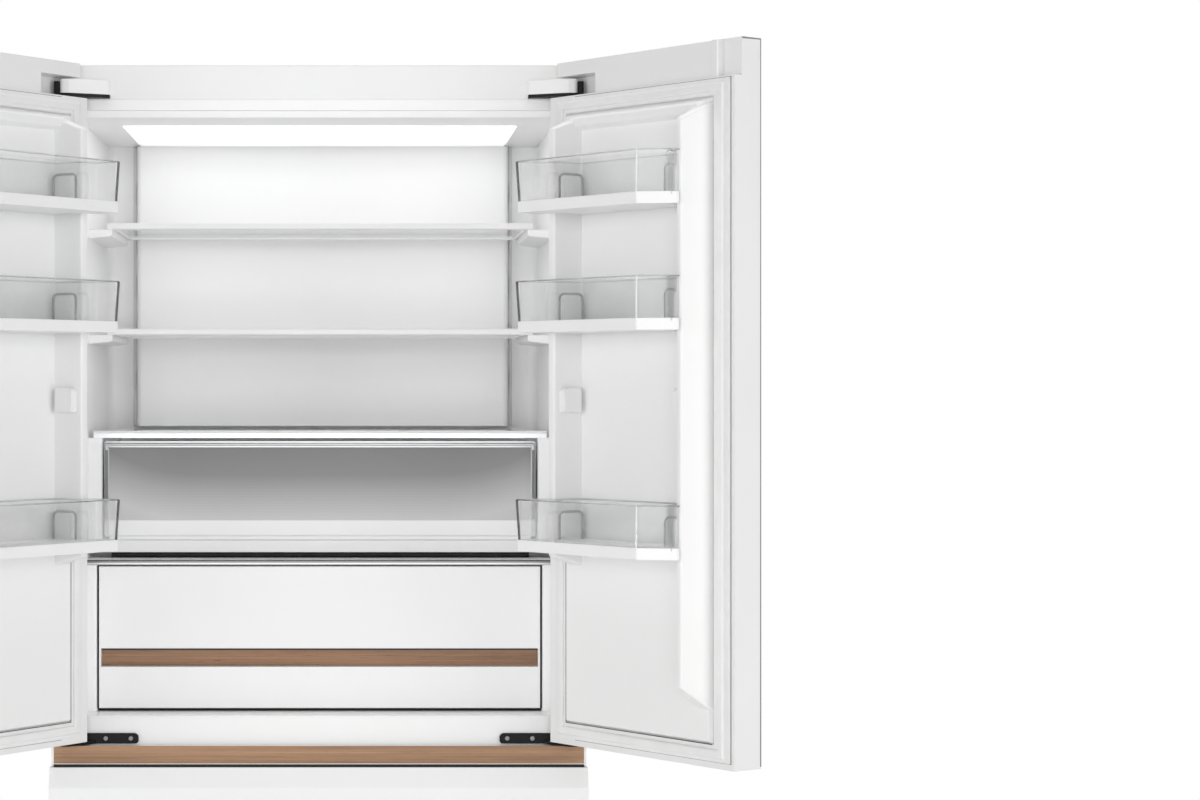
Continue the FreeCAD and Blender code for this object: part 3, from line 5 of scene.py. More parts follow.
import bpy
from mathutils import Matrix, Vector

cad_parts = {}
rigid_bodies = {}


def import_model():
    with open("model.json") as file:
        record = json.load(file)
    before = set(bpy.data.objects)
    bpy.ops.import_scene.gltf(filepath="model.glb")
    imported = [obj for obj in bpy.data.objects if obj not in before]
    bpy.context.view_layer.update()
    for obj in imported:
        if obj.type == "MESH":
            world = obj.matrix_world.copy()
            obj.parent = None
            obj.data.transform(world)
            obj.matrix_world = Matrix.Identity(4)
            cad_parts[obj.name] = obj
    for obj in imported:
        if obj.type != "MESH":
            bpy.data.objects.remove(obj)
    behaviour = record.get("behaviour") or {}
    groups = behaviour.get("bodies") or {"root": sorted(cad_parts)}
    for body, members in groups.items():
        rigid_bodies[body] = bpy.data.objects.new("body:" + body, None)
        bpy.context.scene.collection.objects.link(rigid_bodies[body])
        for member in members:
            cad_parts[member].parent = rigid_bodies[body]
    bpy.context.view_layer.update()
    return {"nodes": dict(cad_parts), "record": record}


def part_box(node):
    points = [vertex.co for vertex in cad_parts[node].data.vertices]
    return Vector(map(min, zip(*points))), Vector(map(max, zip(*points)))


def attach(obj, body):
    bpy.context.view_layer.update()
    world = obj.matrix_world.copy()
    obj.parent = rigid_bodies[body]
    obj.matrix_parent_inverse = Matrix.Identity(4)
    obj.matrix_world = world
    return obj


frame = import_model()
MM = 0.001

# Camera station in front of the cabinet, and the frame it was shot in
CABINET_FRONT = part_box("outer_case")[0].y
CAMERA_X = 58.7 * MM
CAMERA_AHEAD = 4350 * MM
CAMERA_Z = 1327 * MM
SENSOR = 36
LENS = 83.76
SHIFT = (0.2027, -0.0098)

# Floor, surroundings as light and as seen, and lamps: place, aim, size in metres, power in watts
FLOOR_SIZE = 9.0
WORLD_LIGHT, WORLD_SEEN = 0.28, 1.0
LAMPS = {"front_lamp": ((0.0, -5.2, 1.4), (0.0, 0.0, 1.2), 2.4, 54),
         "left_lamp": ((-3.3, -3.1, 1.5), (0.0, 0.0, 1.1), 2.0, 50),
         "right_lamp": ((3.3, -3.1, 1.5), (0.0, 0.0, 1.1), 2.0, 52),
         "top_lamp": ((0.0, 1.5, 9.0), (0.0, 1.5, 0.0), 5.0, 360)}

# Open door: e runs in from its hinge edge, q out from its inner face; its size and its thinner top strip
OPEN_ANGLE = math.radians(125.4)
PIVOT_E = 21 * MM
PIVOT_Q = -28 * MM
PIVOT = Vector(next(joint["pos_m"] for joint in frame["record"]["behaviour"]["joints"]
                    if joint["name"] == "left_door_swing"))
SIDES = (("left", 1), ("right", -1))
DOOR_WIDE, DOOR_THICK = 412.5 * MM, 54 * MM
CAP_H, CAP_SET = 54.5 * MM, 14 * MM

# Bin plan between the door's dikes, and heights of a bin and its tray
BIN_NEAR, BIN_FAR = 86 * MM, 340 * MM
BIN_WIDE = 29 * MM
BIN_BACK, BIN_RIDGE, BIN_FRONT = 9.5 * MM, 62 * MM, 112 * MM
BIN_SHOULDER = BIN_RIDGE + 4 * MM
BIN_CORNER = 40 * MM
BIN_HEIGHT, BIN_STEP = 77 * MM, 50 * MM
TRAY_H, TRAY_WELL = 17 * MM, 13 * MM

# Beads, all of eight sides; those of a bin, tinted dark as painted shade and white at the corner as a
# painted highlight: rim, mouths of its channels, corner and leaning end
BEAD_SIDES = 8
RIM_R = 1.1 * MM
CHANNEL_E, CHANNEL_Q = 9 * MM, (15 * MM, 60 * MM)
CHANNEL_R, CHANNEL_H = 9 * MM, 42 * MM
CHANNEL_ARC = range(0, 91, 15)
CHANNEL_BEAD_R, FAR_CHANNEL_R = 2.1 * MM, 1.3 * MM
CORNER_R = 1.5 * MM
END_R, END_LEAN = 2.0 * MM, (4 * MM, -2 * MM)

# Ribs of a bin's tray
RIB_COUNT, RIB_MARGIN = 13, 16 * MM
RIB_SIZE = (1.6 * MM, 64 * MM, 1.4 * MM)

# Bands beside the wood of the grips: a pale line, and dark bands of painted shade
DRAWER_WOOD_H = 27 * MM
CRISPER_WOOD_H = 24.5 * MM
PALE_LINE_H = 1.5 * MM
PALE_LINE_LEVEL, PAINTED_SHADE_LEVEL = 225, 40

# Chilled drawer's frame: round strip on its top, shade in its posts
TRIM_BEAD_R = 3.4 * MM
TRIM_POST, TRIM_RIM = 7 * MM, 10 * MM
POST_R, POST_PROUD = 2.4 * MM, 0.9 * MM
POST_HEAD, POST_FOOT = 9 * MM, 26 * MM

# Dark strips of painted shade beside and under the lower inner drawer, and in the slot over it; lip of the
# cover shelf
GAP_X, GAP_Y, GAP_R = 1.75 * MM, 4.8 * MM, 1.3 * MM
FOOT_Y, FOOT_Z, FOOT_R = 12.8 * MM, 3.1 * MM, 2.0 * MM
NOSE_FRONT, NOSE_H = 23.2 * MM, 19.5 * MM
SLOT_R, SLOT_END = 4.4 * MM, 36 * MM
LIP_R = 2.2 * MM

# Grey strip of painted shade along each side of the air panel
PANEL_SHADE_R, PANEL_SHADE_IN = 4.0 * MM, 3.0 * MM

# Door lines of painted shade: gap inside the seal, line outside it, outer edge of the door
SEAL_E, SEAL_END_E, SEAL_Z = 41.9 * MM, 369 * MM, 34.5 * MM
SEAL_Q, SEAL_GAP_R = 3.6 * MM, 0.6 * MM
SEAL_OUT_E = (60 * MM, 405.6 * MM)
SEAL_OUT_Z = (9.4 * MM, 57.4 * MM)
SEAL_OUT_Q, SEAL_OUT_R = 0.2 * MM, 0.7 * MM
EDGE_SINK, EDGE_BACK = 1.2 * MM, 3.0 * MM
EDGE_R = 1.8 * MM

# Rib across the thinner top strip of a door, near its free end
CAP_RIB_E = (362 * MM, 376 * MM)
CAP_RIB_Q = (-CAP_SET, -1 * MM)
CAP_RIB_EASE = 1.5 * MM

# Screws of the rear cover: flange under a low dome
SCREW_INSET, SCREW_R = 14 * MM, 5 * MM
FLANGE_T = 0.8 * MM
DOME = (0.72, 0.72, 0.45)

# Warmth of a tone's darker and lighter end, colour of dust, and softness of edges
WARM, COOL = 0.004, -0.002
DUST = (186, 180, 170)
SOFT_EDGE, FINE_EDGE = 0.9 * MM, 0.5 * MM
SHEET_EDGE = 0.6 * MM


class Value:
    """A shader socket that takes part in sums; each operator adds the node it needs."""

    def __init__(self, finish, socket):
        self.finish = finish
        self.socket = socket

    def math(self, operation, *inputs):
        return self.finish.add("ShaderNodeMath", {"operation": operation},
                               dict(enumerate(inputs)))

    def __add__(self, other):
        return self.math("ADD", self, other)

    def __sub__(self, other):
        return self.math("SUBTRACT", self, other)

    def __mul__(self, other):
        return self.math("MULTIPLY", self, other)

    def __truediv__(self, other):
        return self.math("DIVIDE", self, other)

    def __pow__(self, other):
        return self.math("POWER", self, other)

    def __radd__(self, other):
        return self.math("ADD", other, self)

    def __rsub__(self, other):
        return self.math("SUBTRACT", other, self)

    def above(self, level):
        return self.math("GREATER_THAN", self, level)

    def between(self, low, high):
        return self.above(low) * (1 - self.above(high))

    def whole(self):
        return self.math("FLOOR", self)

    def rest(self):
        return self.math("FRACT", self)

    def span(self, low, high, start=0.0, end=1.0):
        """Rescaled from low..high to start..end, and held at the ends."""
        return self.finish.add("ShaderNodeMapRange", {"clamp": True},
                               {0: self, 1: low, 2: high, 3: start, 4: end})

    def usual(self, start=0.0, end=1.0):
        """A noise's usual range, rescaled to start..end."""
        return self.span(0.3, 0.7, start, end)


class Finish:
    """One procedural material."""

    def __init__(self, name, **settings):
        self.material = bpy.data.materials.new(name)
        self.material.use_nodes = True
        self.tree = self.material.node_tree
        self.shader = self.tree.nodes["Principled BSDF"]
        for socket, value in settings.items():
            self.shader.inputs[socket.replace("_", " ")].default_value = value

    def add(self, kind, settings, sockets, output=0):
        """Add a node: its settings first, then its sockets, as links or plain values."""
        node = self.tree.nodes.new(kind)
        for name, value in settings.items():
            if name == "stops":
                self.stops(node.color_ramp, value)
            else:
                setattr(node, name, value)
        for name, value in sockets.items():
            if isinstance(value, Value):
                self.tree.links.new(value.socket, node.inputs[name])
            else:
                node.inputs[name].default_value = value
        return Value(self, node.outputs[output])

    @staticmethod
    def stops(ramp, stops):
        while len(ramp.elements) < len(stops):
            ramp.elements.new(1.0)
        for element, (place, colour) in zip(ramp.elements, stops):
            element.position = place
            element.color = colour

    def place(self):
        return self.add("ShaderNodeTexCoord", {}, {}, "Object")

    def stretched(self, scale):
        return self.add("ShaderNodeMapping", {}, {"Vector": self.place(), "Scale": scale})

    def axes(self):
        """X, Y and Z of the piece, as three values."""
        split = self.tree.nodes.new("ShaderNodeSeparateXYZ")
        self.tree.links.new(self.place().socket, split.inputs[0])
        return [Value(self, out) for out in split.outputs]

    def noise(self, scale, detail=2.0, rough=0.5, vector=None):
        return self.add("ShaderNodeTexNoise", {}, {"Vector": vector or self.place(), "Scale": scale,
                                                   "Detail": detail, "Roughness": rough})

    def grain(self, stretch, detail, rough):
        """Noise drawn out along X."""
        return self.noise(1.0, detail, rough, self.stretched(stretch))

    def mix(self, share, first, second):
        return self.add("ShaderNodeMix", {"data_type": "RGBA"}, {0: share, 6: first, 7: second}, 2)

    def ramp(self, value, *stops):
        return self.add("ShaderNodeValToRGB", {"stops": stops}, {0: value})

    def feed(self, **values):
        """Link what varies over the surface to the shader."""
        for socket, value in values.items():
            self.tree.links.new(value.socket, self.shader.inputs[socket.replace("_", " ")])

    def relief(self, height, depth, edge=0.0):
        """Raise the surface by a height pattern, and soften sharp edges."""
        sockets = {"Height": height, "Strength": 1.0, "Distance": depth}
        if edge:
            sockets["Normal"] = self.add("ShaderNodeBevel", {"samples": 6}, {"Radius": edge})
        self.feed(Normal=self.add("ShaderNodeBump", {}, sockets))


def grey(level, warmth=0.0):
    """Colour of an sRGB grey from 0 to 255, a little warmer or cooler."""
    value = (level / 255) ** 2.2
    return (value * (1 + warmth), value, value * (1 - warmth), 1.0)


def rgb(red, green, blue):
    return tuple((channel / 255) ** 2.2 for channel in (red, green, blue)) + (1.0,)


def moulded(name, level, gloss, grain, depth, edge):
    """White plastic or paint with a faint drift in tone and a fine grain."""
    finish = Finish(name, IOR=1.48)
    drift = finish.noise(scale=2.0, detail=1.0)
    fine = finish.noise(scale=55.0, detail=1.0)
    spread, sheen = 0.8, 0.02
    finish.feed(Base_Color=finish.mix(drift.usual(), grey(level - spread, WARM), grey(level + spread, COOL)),
                Roughness=(fine * 0.6 + drift * 0.4).usual(gloss - sheen, gloss + sheen))
    finish.relief(finish.noise(grain), depth, edge)
    return finish.material


def dusty_coat(name, level, gloss):
    """Coated sheet with orange peel and a breath of dust near the floor."""
    finish = Finish(name, IOR=1.5, Coat_Roughness=0.12)
    dust_top, spread = 0.16, 3
    peel = finish.noise(scale=420.0, detail=1.5, rough=0.4)
    drift = finish.noise(scale=2.2, detail=3.0)
    specks = finish.noise(scale=60.0, detail=4.0, rough=0.65)
    dust = finish.axes()[2].span(0.0, dust_top, 1.0, 0.0) * specks
    base = finish.mix(drift.usual(), grey(level - spread, 0.003), grey(level + spread, COOL))
    finish.feed(Base_Color=finish.mix(dust * 0.35, base, rgb(*DUST)),
                Roughness=drift.usual(gloss - 0.03, gloss + 0.04) + dust * 0.2,
                Coat_Weight=drift.span(0.2, 0.8, 0.10, 0.18))
    finish.relief(peel, depth=0.02 * MM, edge=SOFT_EDGE)
    return finish.material


def wood_tone(name, light, dark, lines_and_shade):
    """Straight-grained strip along X, with grey bands between given heights; the dark ones are painted
    shade.
    """
    finish = Finish(name, IOR=1.46)
    fibres = finish.grain((5.0, 700.0, 700.0), detail=6.0, rough=0.62)
    bands = finish.grain((1.3, 62.0, 62.0), detail=3.0, rough=0.5)
    pores = finish.grain((34.0, 1500.0, 1500.0), detail=2.0, rough=0.7)
    middle = [(first + second) / 2 for first, second in zip(light, dark)]
    pit = [channel * 0.62 for channel in dark]
    tone = finish.ramp(bands * 0.55 + fibres * 0.45, (0.30, rgb(*dark)), (0.48, rgb(*middle)),
                       (0.66, rgb(*light)))
    pits = pores.span(0.60, 0.74)
    tone = finish.mix(pits * 0.55, tone, rgb(*pit))
    height = finish.axes()[2]
    # The dark bands are painted shade: under the lower drawers' wood in its pocket, and under the lip over
    # the crisper's wood.
    for low, high, level in lines_and_shade:
        tone = finish.mix(height.between(low, high), tone, grey(level))
    finish.feed(Base_Color=tone, Roughness=0.46 + pits * 0.16 - bands * 0.06)
    finish.relief(fibres - pits * 0.8, depth=0.12 * MM, edge=FINE_EDGE)
    return finish.material


def clear(name, tint, rough, ior, body, through=1.0):
    """Clear plastic or glass with faint handling haze, a mirror to a grazing look."""
    finish = Finish(name, Base_Color=tint, IOR=ior, Transmission_Weight=through)
    haze = finish.noise(scale=18.0, detail=4.0, rough=0.6)
    facing = finish.add("ShaderNodeLayerWeight", {}, {"Blend": 0.5}, "Facing")
    seen = haze.span(0.35, 0.7, body - 0.03, body + 0.03) + facing ** 5 * (1 - body)
    finish.feed(Roughness=haze.span(0.45, 0.75, rough, rough + 0.05), Alpha=seen.span(0.0, 1.0))
    return finish.material


def frosted_panel(name):
    """Grey frosted front, printed with fine dots that thin out downwards; its grey is painted shade, lighter
    low and darker towards the top and the sides.
    """
    low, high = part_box("chilled_front")
    finish = Finish(name, IOR=1.5)
    x, _, z = finish.axes()
    rise = z.span(low.z, high.z)
    pitch = 2.4 * MM
    along, up = x / pitch, z / pitch
    across = (along + up.whole() * 0.5).rest() - 0.5
    level = up.rest() - 0.5
    near = (across * across + level * level) ** 0.5
    side_shade = ((x / high.x) ** 2) ** 3
    # Painted shade: the grey darkens towards the top and the sides.
    base = finish.ramp(rise - side_shade * 0.35, (0.0, grey(196)), (0.35, grey(160)), (0.62, grey(126)),
                       (1.0, grey(112)))
    dots = near.span(0.20, 0.30, 1.0, 0.0) * rise.span(0.2, 0.62, 1.0, 0.0)
    finish.feed(Base_Color=finish.mix(dots * 0.4, base, grey(224)),
                Roughness=0.34 + dots * 0.18 + finish.noise(scale=5.0) * 0.04)
    return finish.material


def bright_trim(name, level, rough):
    """Satin bright strip, brushed along its length."""
    finish = Finish(name, Metallic=1.0)
    brush = finish.grain((3.0, 2600.0, 2600.0), detail=3.0, rough=0.6)
    spread, cast = 8, -0.01
    finish.feed(Base_Color=finish.mix(brush, grey(level - spread, cast), grey(level + spread, cast)),
                Roughness=brush.usual(rough - 0.04, rough + 0.06))
    finish.relief(brush, depth=0.004 * MM, edge=FINE_EDGE)
    return finish.material


def trim_with_painted_shade(name):
    """Bright strip, with painted light along its lower edge and painted shade towards the top, where it
    turns into the slot above.
    """
    low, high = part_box("partition_trim")
    finish = Finish(name, Metallic=1.0, Roughness=0.42)
    rise = finish.axes()[2].span(low.z, high.z)
    finish.feed(Base_Color=finish.ramp(rise, (0.30, grey(205)), (0.48, grey(140)), (1.0, grey(78))))
    return finish.material


def zinc(name, light, dark):
    """Galvanised sheet with its spangle."""
    finish = Finish(name, Metallic=1.0)
    cells = finish.add("ShaderNodeTexVoronoi", {}, {"Vector": finish.place(), "Scale": 62.0}, "Color")
    cell = finish.add("ShaderNodeSeparateColor", {}, {0: cells})
    tone = cell * 0.6 + finish.noise(scale=4.0, detail=3.0) * 0.4
    finish.feed(Base_Color=finish.mix(tone, rgb(*dark), rgb(*light)),
                Roughness=tone.span(0.1, 0.9, 0.34, 0.52))
    finish.relief(finish.noise(scale=300.0), depth=0.03 * MM, edge=SHEET_EDGE)
    return finish.material


def dark_coat(name, level, gloss, grain):
    """Black coated steel or plastic, slightly greyed where it is handled."""
    finish = Finish(name, IOR=1.5, Specular_IOR_Level=0.2)
    wear = finish.noise(scale=45.0, detail=4.0, rough=0.6)
    finish.feed(Base_Color=finish.mix(wear.span(0.35, 0.75), grey(level), grey(level + 16)),
                Roughness=wear.usual(gloss - 0.06, gloss + 0.10))
    finish.relief(finish.noise(grain), depth=0.05 * MM, edge=SHEET_EDGE)
    return finish.material


def opal_light(name):
    """Opal cover lit from its front edge, a little brighter along its middle."""
    low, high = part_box("light_cover")
    finish = Finish(name, Roughness=0.35, Emission_Strength=1.55)
    x, y, _ = finish.axes()
    glow = ((x / high.x) ** 2).span(0.0, 1.0, 1.0, 0.82)
    lit = glow * y.span(low.y, high.y, 1.0, 0.2)
    finish.feed(Base_Color=finish.mix(glow, grey(236), grey(250)),
                Emission_Color=finish.mix(lit, grey(0), grey(255)))
    return finish.material


def foam_fill(name):
    finish = Finish(name, Roughness=0.9)
    cells = finish.noise(scale=240.0, detail=4.0, rough=0.7)
    finish.feed(Base_Color=finish.mix(cells, rgb(206, 188, 140), rgb(236, 222, 182)))
    finish.relief(cells, depth=0.4 * MM)
    return finish.material


def seal_rubber(name):
    """Soft white seal with a faint bloom."""
    finish = Finish(name, IOR=1.42)
    bloom = finish.noise(scale=30.0, detail=3.0, rough=0.6)
    finish.feed(Base_Color=finish.mix(bloom, grey(228, WARM), grey(240)),
                Roughness=bloom.usual(0.50, 0.64))
    finish.relief(finish.noise(scale=650.0, detail=1.0), depth=0.004 * MM, edge=1.0 * MM)
    return finish.material


def grip_lines_and_shade():
    """A pale line and a dark band of painted shade low on the lower drawers' grips, a dark band of painted
    shade high on the inner's.
    """
    lines_and_shade = []
    for name in ("upper_drawer_grip", "lower_drawer_grip"):
        low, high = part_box(name)
        foot = high.z - DRAWER_WOOD_H
        lines_and_shade += [(foot - PALE_LINE_H, foot, PALE_LINE_LEVEL), (low.z - MM, foot - PALE_LINE_H, PAINTED_SHADE_LEVEL)]
    low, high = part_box("crisper_grip")
    return lines_and_shade + [(low.z + CRISPER_WOOD_H, high.z + MM, PAINTED_SHADE_LEVEL)]


def formed(name, level):
    """Formed sheet of a liner."""
    return moulded(name, level, gloss=0.36, grain=520.0, depth=0.003 * MM, edge=1.5 * MM)


FINISHES = {
    "case_white": dusty_coat("case_coat", level=238, gloss=0.34),
    "door_white": dusty_coat("door_coat", level=235, gloss=0.32),
    "liner_white": formed("formed_liner", level=252),
    "trim_white": moulded("moulded_white", level=242, gloss=0.32, grain=760.0, depth=0.002 * MM,
                          edge=SOFT_EDGE),
    "wood_tone": wood_tone("wood_strip", (190, 149, 114), (132, 100, 76), grip_lines_and_shade()),
    "bin_clear": clear("clear_bin", (0.94, 0.95, 0.95, 1.0), rough=0.01, ior=1.42, body=0.22, through=0.8),
    "shelf_glass": clear("shelf_glass", (0.93, 0.96, 0.95, 1.0), rough=0.0, ior=1.45, body=0.08,
                         through=0.55),
    "frosted": frosted_panel("frosted_front"),
    "bright_trim": bright_trim("bright_strip", level=182, rough=0.40),
    "seal_grey": seal_rubber("soft_seal"),
    "hinge_black": dark_coat("black_steel", level=14, gloss=0.5, grain=500.0),
    "galvanised": zinc("zinc_sheet", (196, 198, 200), (174, 177, 180)),
    "dark_plastic": dark_coat("dark_plastic", level=38, gloss=0.55, grain=900.0),
    "foam_cream": foam_fill("rigid_foam"),
    "light_diffuser": opal_light("opal_cover"),
}
# Painted shade: dark tints for the bins' rims, channel mouths and ends; painted highlight: a white line at
# their corners.
BIN_RIM_SHADE = clear("clear_bin_rim", (0.62, 0.63, 0.63, 1.0), rough=0.05, ior=1.45, body=0.6)
BIN_CORNER_HIGHLIGHT = clear("clear_bin_corner", (1.0, 1.0, 1.0, 1.0), rough=0.25, ior=1.45, body=0.8,
                        through=0.4)
BIN_EDGE_SHADE = clear("clear_bin_edge", (0.30, 0.31, 0.31, 1.0), rough=0.05, ior=1.45, body=0.9)
BIN_END_SHADE = clear("clear_bin_end", (0.05, 0.05, 0.05, 1.0), rough=0.10, ior=1.45, body=0.9)
# Painted shade: grey for the lines along the doors' outer edges and round their seals.
EDGE_SHADE = moulded("edge_shade_grey", level=128, gloss=0.5, grain=520.0, depth=0.002 * MM, edge=0.0)
POST_SHADE = bright_trim("shaded_strip", level=112, rough=0.40)
# Painted shade: grey for the strips beside the air panel.
PANEL_SHADE = moulded("panel_shade", level=222, gloss=0.6, grain=520.0, depth=0.002 * MM, edge=0.0)
DOOR_LINER = formed("door_liner", level=240)
NODE_FINISHES = {"air_panel": FINISHES["liner_white"],
                 "door_liner_left": DOOR_LINER, "door_liner_right": DOOR_LINER,
                 "cover_shelf_frame": bright_trim("pale_strip", level=232, rough=0.5),
                 "partition_trim": trim_with_painted_shade("slot_trim_painted_shade"),
                 # Painted shade: a darker copy of the wood, for the grip set in the crisper's recess.
                 "crisper_grip": wood_tone("painted_shade_wood_strip", (174, 133, 101), (120, 89, 67), grip_lines_and_shade()),
                 "hinge_screws": zinc("dull_zinc", (132, 134, 136), (96, 98, 100))}


def door_point(side, e, q, z):
    """A point of an open door in the shared frame; side is 1 on the left and -1 on the right."""
    across, out = e - PIVOT_E, q - PIVOT_Q
    x = PIVOT.x + across * math.cos(OPEN_ANGLE) + out * math.sin(OPEN_ANGLE)
    y = PIVOT.y - across * math.sin(OPEN_ANGLE) + out * math.cos(OPEN_ANGLE)
    return Vector((side * x, y, z))


class Pattern:
    """A geometry tree with named inputs, grown on a source and made a plain mesh."""

    def __init__(self, name, **inputs):
        self.tree = bpy.data.node_groups.new(name, "GeometryNodeTree")
        face = self.tree.interface
        face.new_socket("Geometry", in_out="INPUT", socket_type="NodeSocketGeometry")
        self.ids = {key: face.new_socket(key.replace("_", " "), in_out="INPUT",
                                         socket_type="NodeSocket" + kind).identifier
                    for key, kind in inputs.items()}
        face.new_socket("Geometry", in_out="OUTPUT", socket_type="NodeSocketGeometry")
        self.source = self.tree.nodes.new("NodeGroupInput")

    def get(self, key):
        return self.source.outputs[key.replace("_", " ")]

    def add(self, kind, sockets, output=0):
        """Add a node with its sockets, as links or plain values."""
        node = self.tree.nodes.new(kind)
        for name, value in sockets.items():
            if isinstance(value, bpy.types.NodeSocket):
                self.tree.links.new(value, node.inputs[name])
            else:
                node.inputs[name].default_value = value
        return node.outputs[output]

    def close(self, geometry):
        real = self.add("GeometryNodeRealizeInstances", {"Geometry": geometry})
        painted = self.add("GeometryNodeSetMaterial", {"Geometry": real, "Material": self.get("Material")})
        end = self.tree.nodes.new("NodeGroupOutput")
        self.tree.links.new(painted, end.inputs["Geometry"])
        return self

    def grow(self, name, source, **values):
        """The tree's result on a source, as an object at the origin."""
        holder = bpy.data.objects.new(name + "_source", source)
        bpy.context.scene.collection.objects.link(holder)
        grown = holder.modifiers.new("pattern", "NODES")
        grown.node_group = self.tree
        for key, value in values.items():
            grown[self.ids[key]] = value
        settled = holder.evaluated_get(bpy.context.evaluated_depsgraph_get())
        piece = bpy.data.objects.new(name, bpy.data.meshes.new_from_object(settled))
        holder.modifiers.remove(grown)
        bpy.data.objects.remove(holder)
        bpy.context.scene.collection.objects.link(piece)
        return piece


def bead_pattern():
    """Round bead swept along a path."""
    made = Pattern("rim_bead", Bead_radius="Float", Material="Material")
    ring = made.add("GeometryNodeCurvePrimitiveCircle",
                    {"Resolution": BEAD_SIDES, "Radius": made.get("Bead_radius")})
    swept = made.add("GeometryNodeCurveToMesh", {"Curve": made.get("Geometry"), "Profile Curve": ring,
                                                 "Fill Caps": True})
    return made.close(swept)


def rib_pattern():
    """Straight bars set along a row of points, all turned one way."""
    made = Pattern("tray_ribs", Rib_size="Vector", Turn="Rotation", Material="Material")
    bar = made.add("GeometryNodeMeshCube", {"Size": made.get("Rib_size")})
    row = made.add("GeometryNodeInstanceOnPoints", {"Points": made.get("Geometry"), "Instance": bar,
                                                    "Rotation": made.get("Turn")})
    return made.close(row)


def screw_pattern():
    """Flange-headed screws, heads towards the back."""
    made = Pattern("cover_screws", Head_radius="Float", Material="Material")
    radius = made.get("Head_radius")
    flange = made.add("GeometryNodeMeshCylinder",
                      {"Vertices": 20, "Radius": radius, "Depth": FLANGE_T}, "Mesh")
    dome = made.add("GeometryNodeMeshUVSphere", {"Segments": 16, "Rings": 8, "Radius": radius}, "Mesh")
    dome = made.add("GeometryNodeTransform", {"Geometry": dome, "Scale": DOME})
    head = made.tree.nodes.new("GeometryNodeJoinGeometry")
    for part in (flange, dome):
        made.tree.links.new(part, head.inputs[0])
    heads = made.add("GeometryNodeInstanceOnPoints",
                     {"Points": made.get("Geometry"), "Instance": head.outputs[0],
                      "Rotation": (math.pi / 2, 0, 0)})
    return made.close(heads)


BEADS = bead_pattern()


def point_mesh(name, points):
    mesh = bpy.data.meshes.new(name)
    mesh.from_pydata([tuple(point) for point in points], [], [])
    return mesh


def paths(name, lines, closed):
    curve = bpy.data.curves.new(name, "CURVE")
    curve.dimensions = "3D"
    for line in lines:
        spline = curve.splines.new("POLY")
        spline.points.add(len(line) - 1)
        for point, place in zip(spline.points, line):
            point.co = (*place, 1.0)
        spline.use_cyclic_u = closed
    return curve


def bead_along(name, lines, radius, finish, closed=False):
    """Round beads along some lines, as one piece."""
    return BEADS.grow(name, paths(name, lines, closed), Bead_radius=radius, Material=finish)


def bin_bases():
    """Undersides of the bins on a door, from its trays' own mesh."""
    heights = sorted({round(vertex.co.z, 4) for vertex in frame["nodes"]["bin_trays_left"].data.vertices})
    return [z for before, z in zip([-1] + heights, heights) if z - before > BIN_STEP]


def channel_line(side, e, base):
    """Mouth of a bin's channel: up one side, round two corners and down the other."""
    low, high = CHANNEL_Q
    foot, crown = base + TRAY_H, base + TRAY_H + CHANNEL_H
    line = [(low, foot)]
    for centre, start in ((low + CHANNEL_R, 180), (high - CHANNEL_R, 90)):
        for angle in CHANNEL_ARC:
            turn = math.radians(start - angle)
            line.append((centre + CHANNEL_R * math.cos(turn),
                         crown - CHANNEL_R + CHANNEL_R * math.sin(turn)))
    line.append((high, foot))
    return [door_point(side, e, q, z) for q, z in line]


def bin_fittings():
    """Beads on the rims, channels, corners and ends of the door bins, dark as painted shade and white at the
    corners as a painted highlight, and ribs on their trays.
    """
    ribs = rib_pattern()
    bases = bin_bases()
    near, far = BIN_NEAR - BIN_WIDE, BIN_FAR + BIN_WIDE
    plan = [(BIN_NEAR, BIN_BACK), (BIN_NEAR, BIN_RIDGE), (near, BIN_SHOULDER), (near, BIN_FRONT),
            (far - BIN_CORNER, BIN_FRONT), (far, BIN_FRONT - BIN_CORNER), (far, BIN_SHOULDER),
            (BIN_FAR, BIN_RIDGE), (BIN_FAR, BIN_BACK)]
    first, last = BIN_NEAR + RIB_MARGIN, BIN_FAR - RIB_MARGIN
    for name, side in SIDES:
        rims = [[door_point(side, e, q, base + BIN_HEIGHT) for e, q in plan] for base in bases]
        mouths = [channel_line(side, BIN_NEAR + CHANNEL_E, base) for base in bases]
        far_mouths = [channel_line(side, BIN_FAR - CHANNEL_E, base) for base in bases]
        corners = [[door_point(side, far - BIN_CORNER, BIN_FRONT, base + rise)
                    for rise in (TRAY_H, BIN_HEIGHT)] for base in bases]
        ends = [[door_point(side, near, BIN_FRONT, base + BIN_HEIGHT),
                 door_point(side, near + END_LEAN[0], BIN_FRONT + END_LEAN[1], base + TRAY_H)]
                for base in bases]
        for part, lines, closed, radius, finish in (
                ("bin_rims_", rims, True, RIM_R, BIN_RIM_SHADE),
                ("bin_channels_", mouths, False, CHANNEL_BEAD_R, BIN_EDGE_SHADE),
                ("bin_far_channels_", far_mouths, False, FAR_CHANNEL_R, BIN_EDGE_SHADE),
                ("bin_corners_", corners, False, CORNER_R, BIN_CORNER_HIGHLIGHT),
                ("bin_ends_", ends, False, END_R, BIN_END_SHADE)):
            bead = bead_along(part + name, lines, radius, finish, closed)
            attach(bead, name + "_door")
        places = [door_point(side, first + (last - first) * i / (RIB_COUNT - 1),
                             (BIN_BACK + BIN_FRONT) / 2, base + TRAY_WELL + RIB_SIZE[2] / 2)
                  for base in bases for i in range(RIB_COUNT)]
        rib = ribs.grow("tray_ribs_" + name, point_mesh("tray_ribs_" + name, places), Rib_size=RIB_SIZE,
                        Turn=(0, 0, -side * OPEN_ANGLE), Material=FINISHES["trim_white"])
        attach(rib, name + "_door")


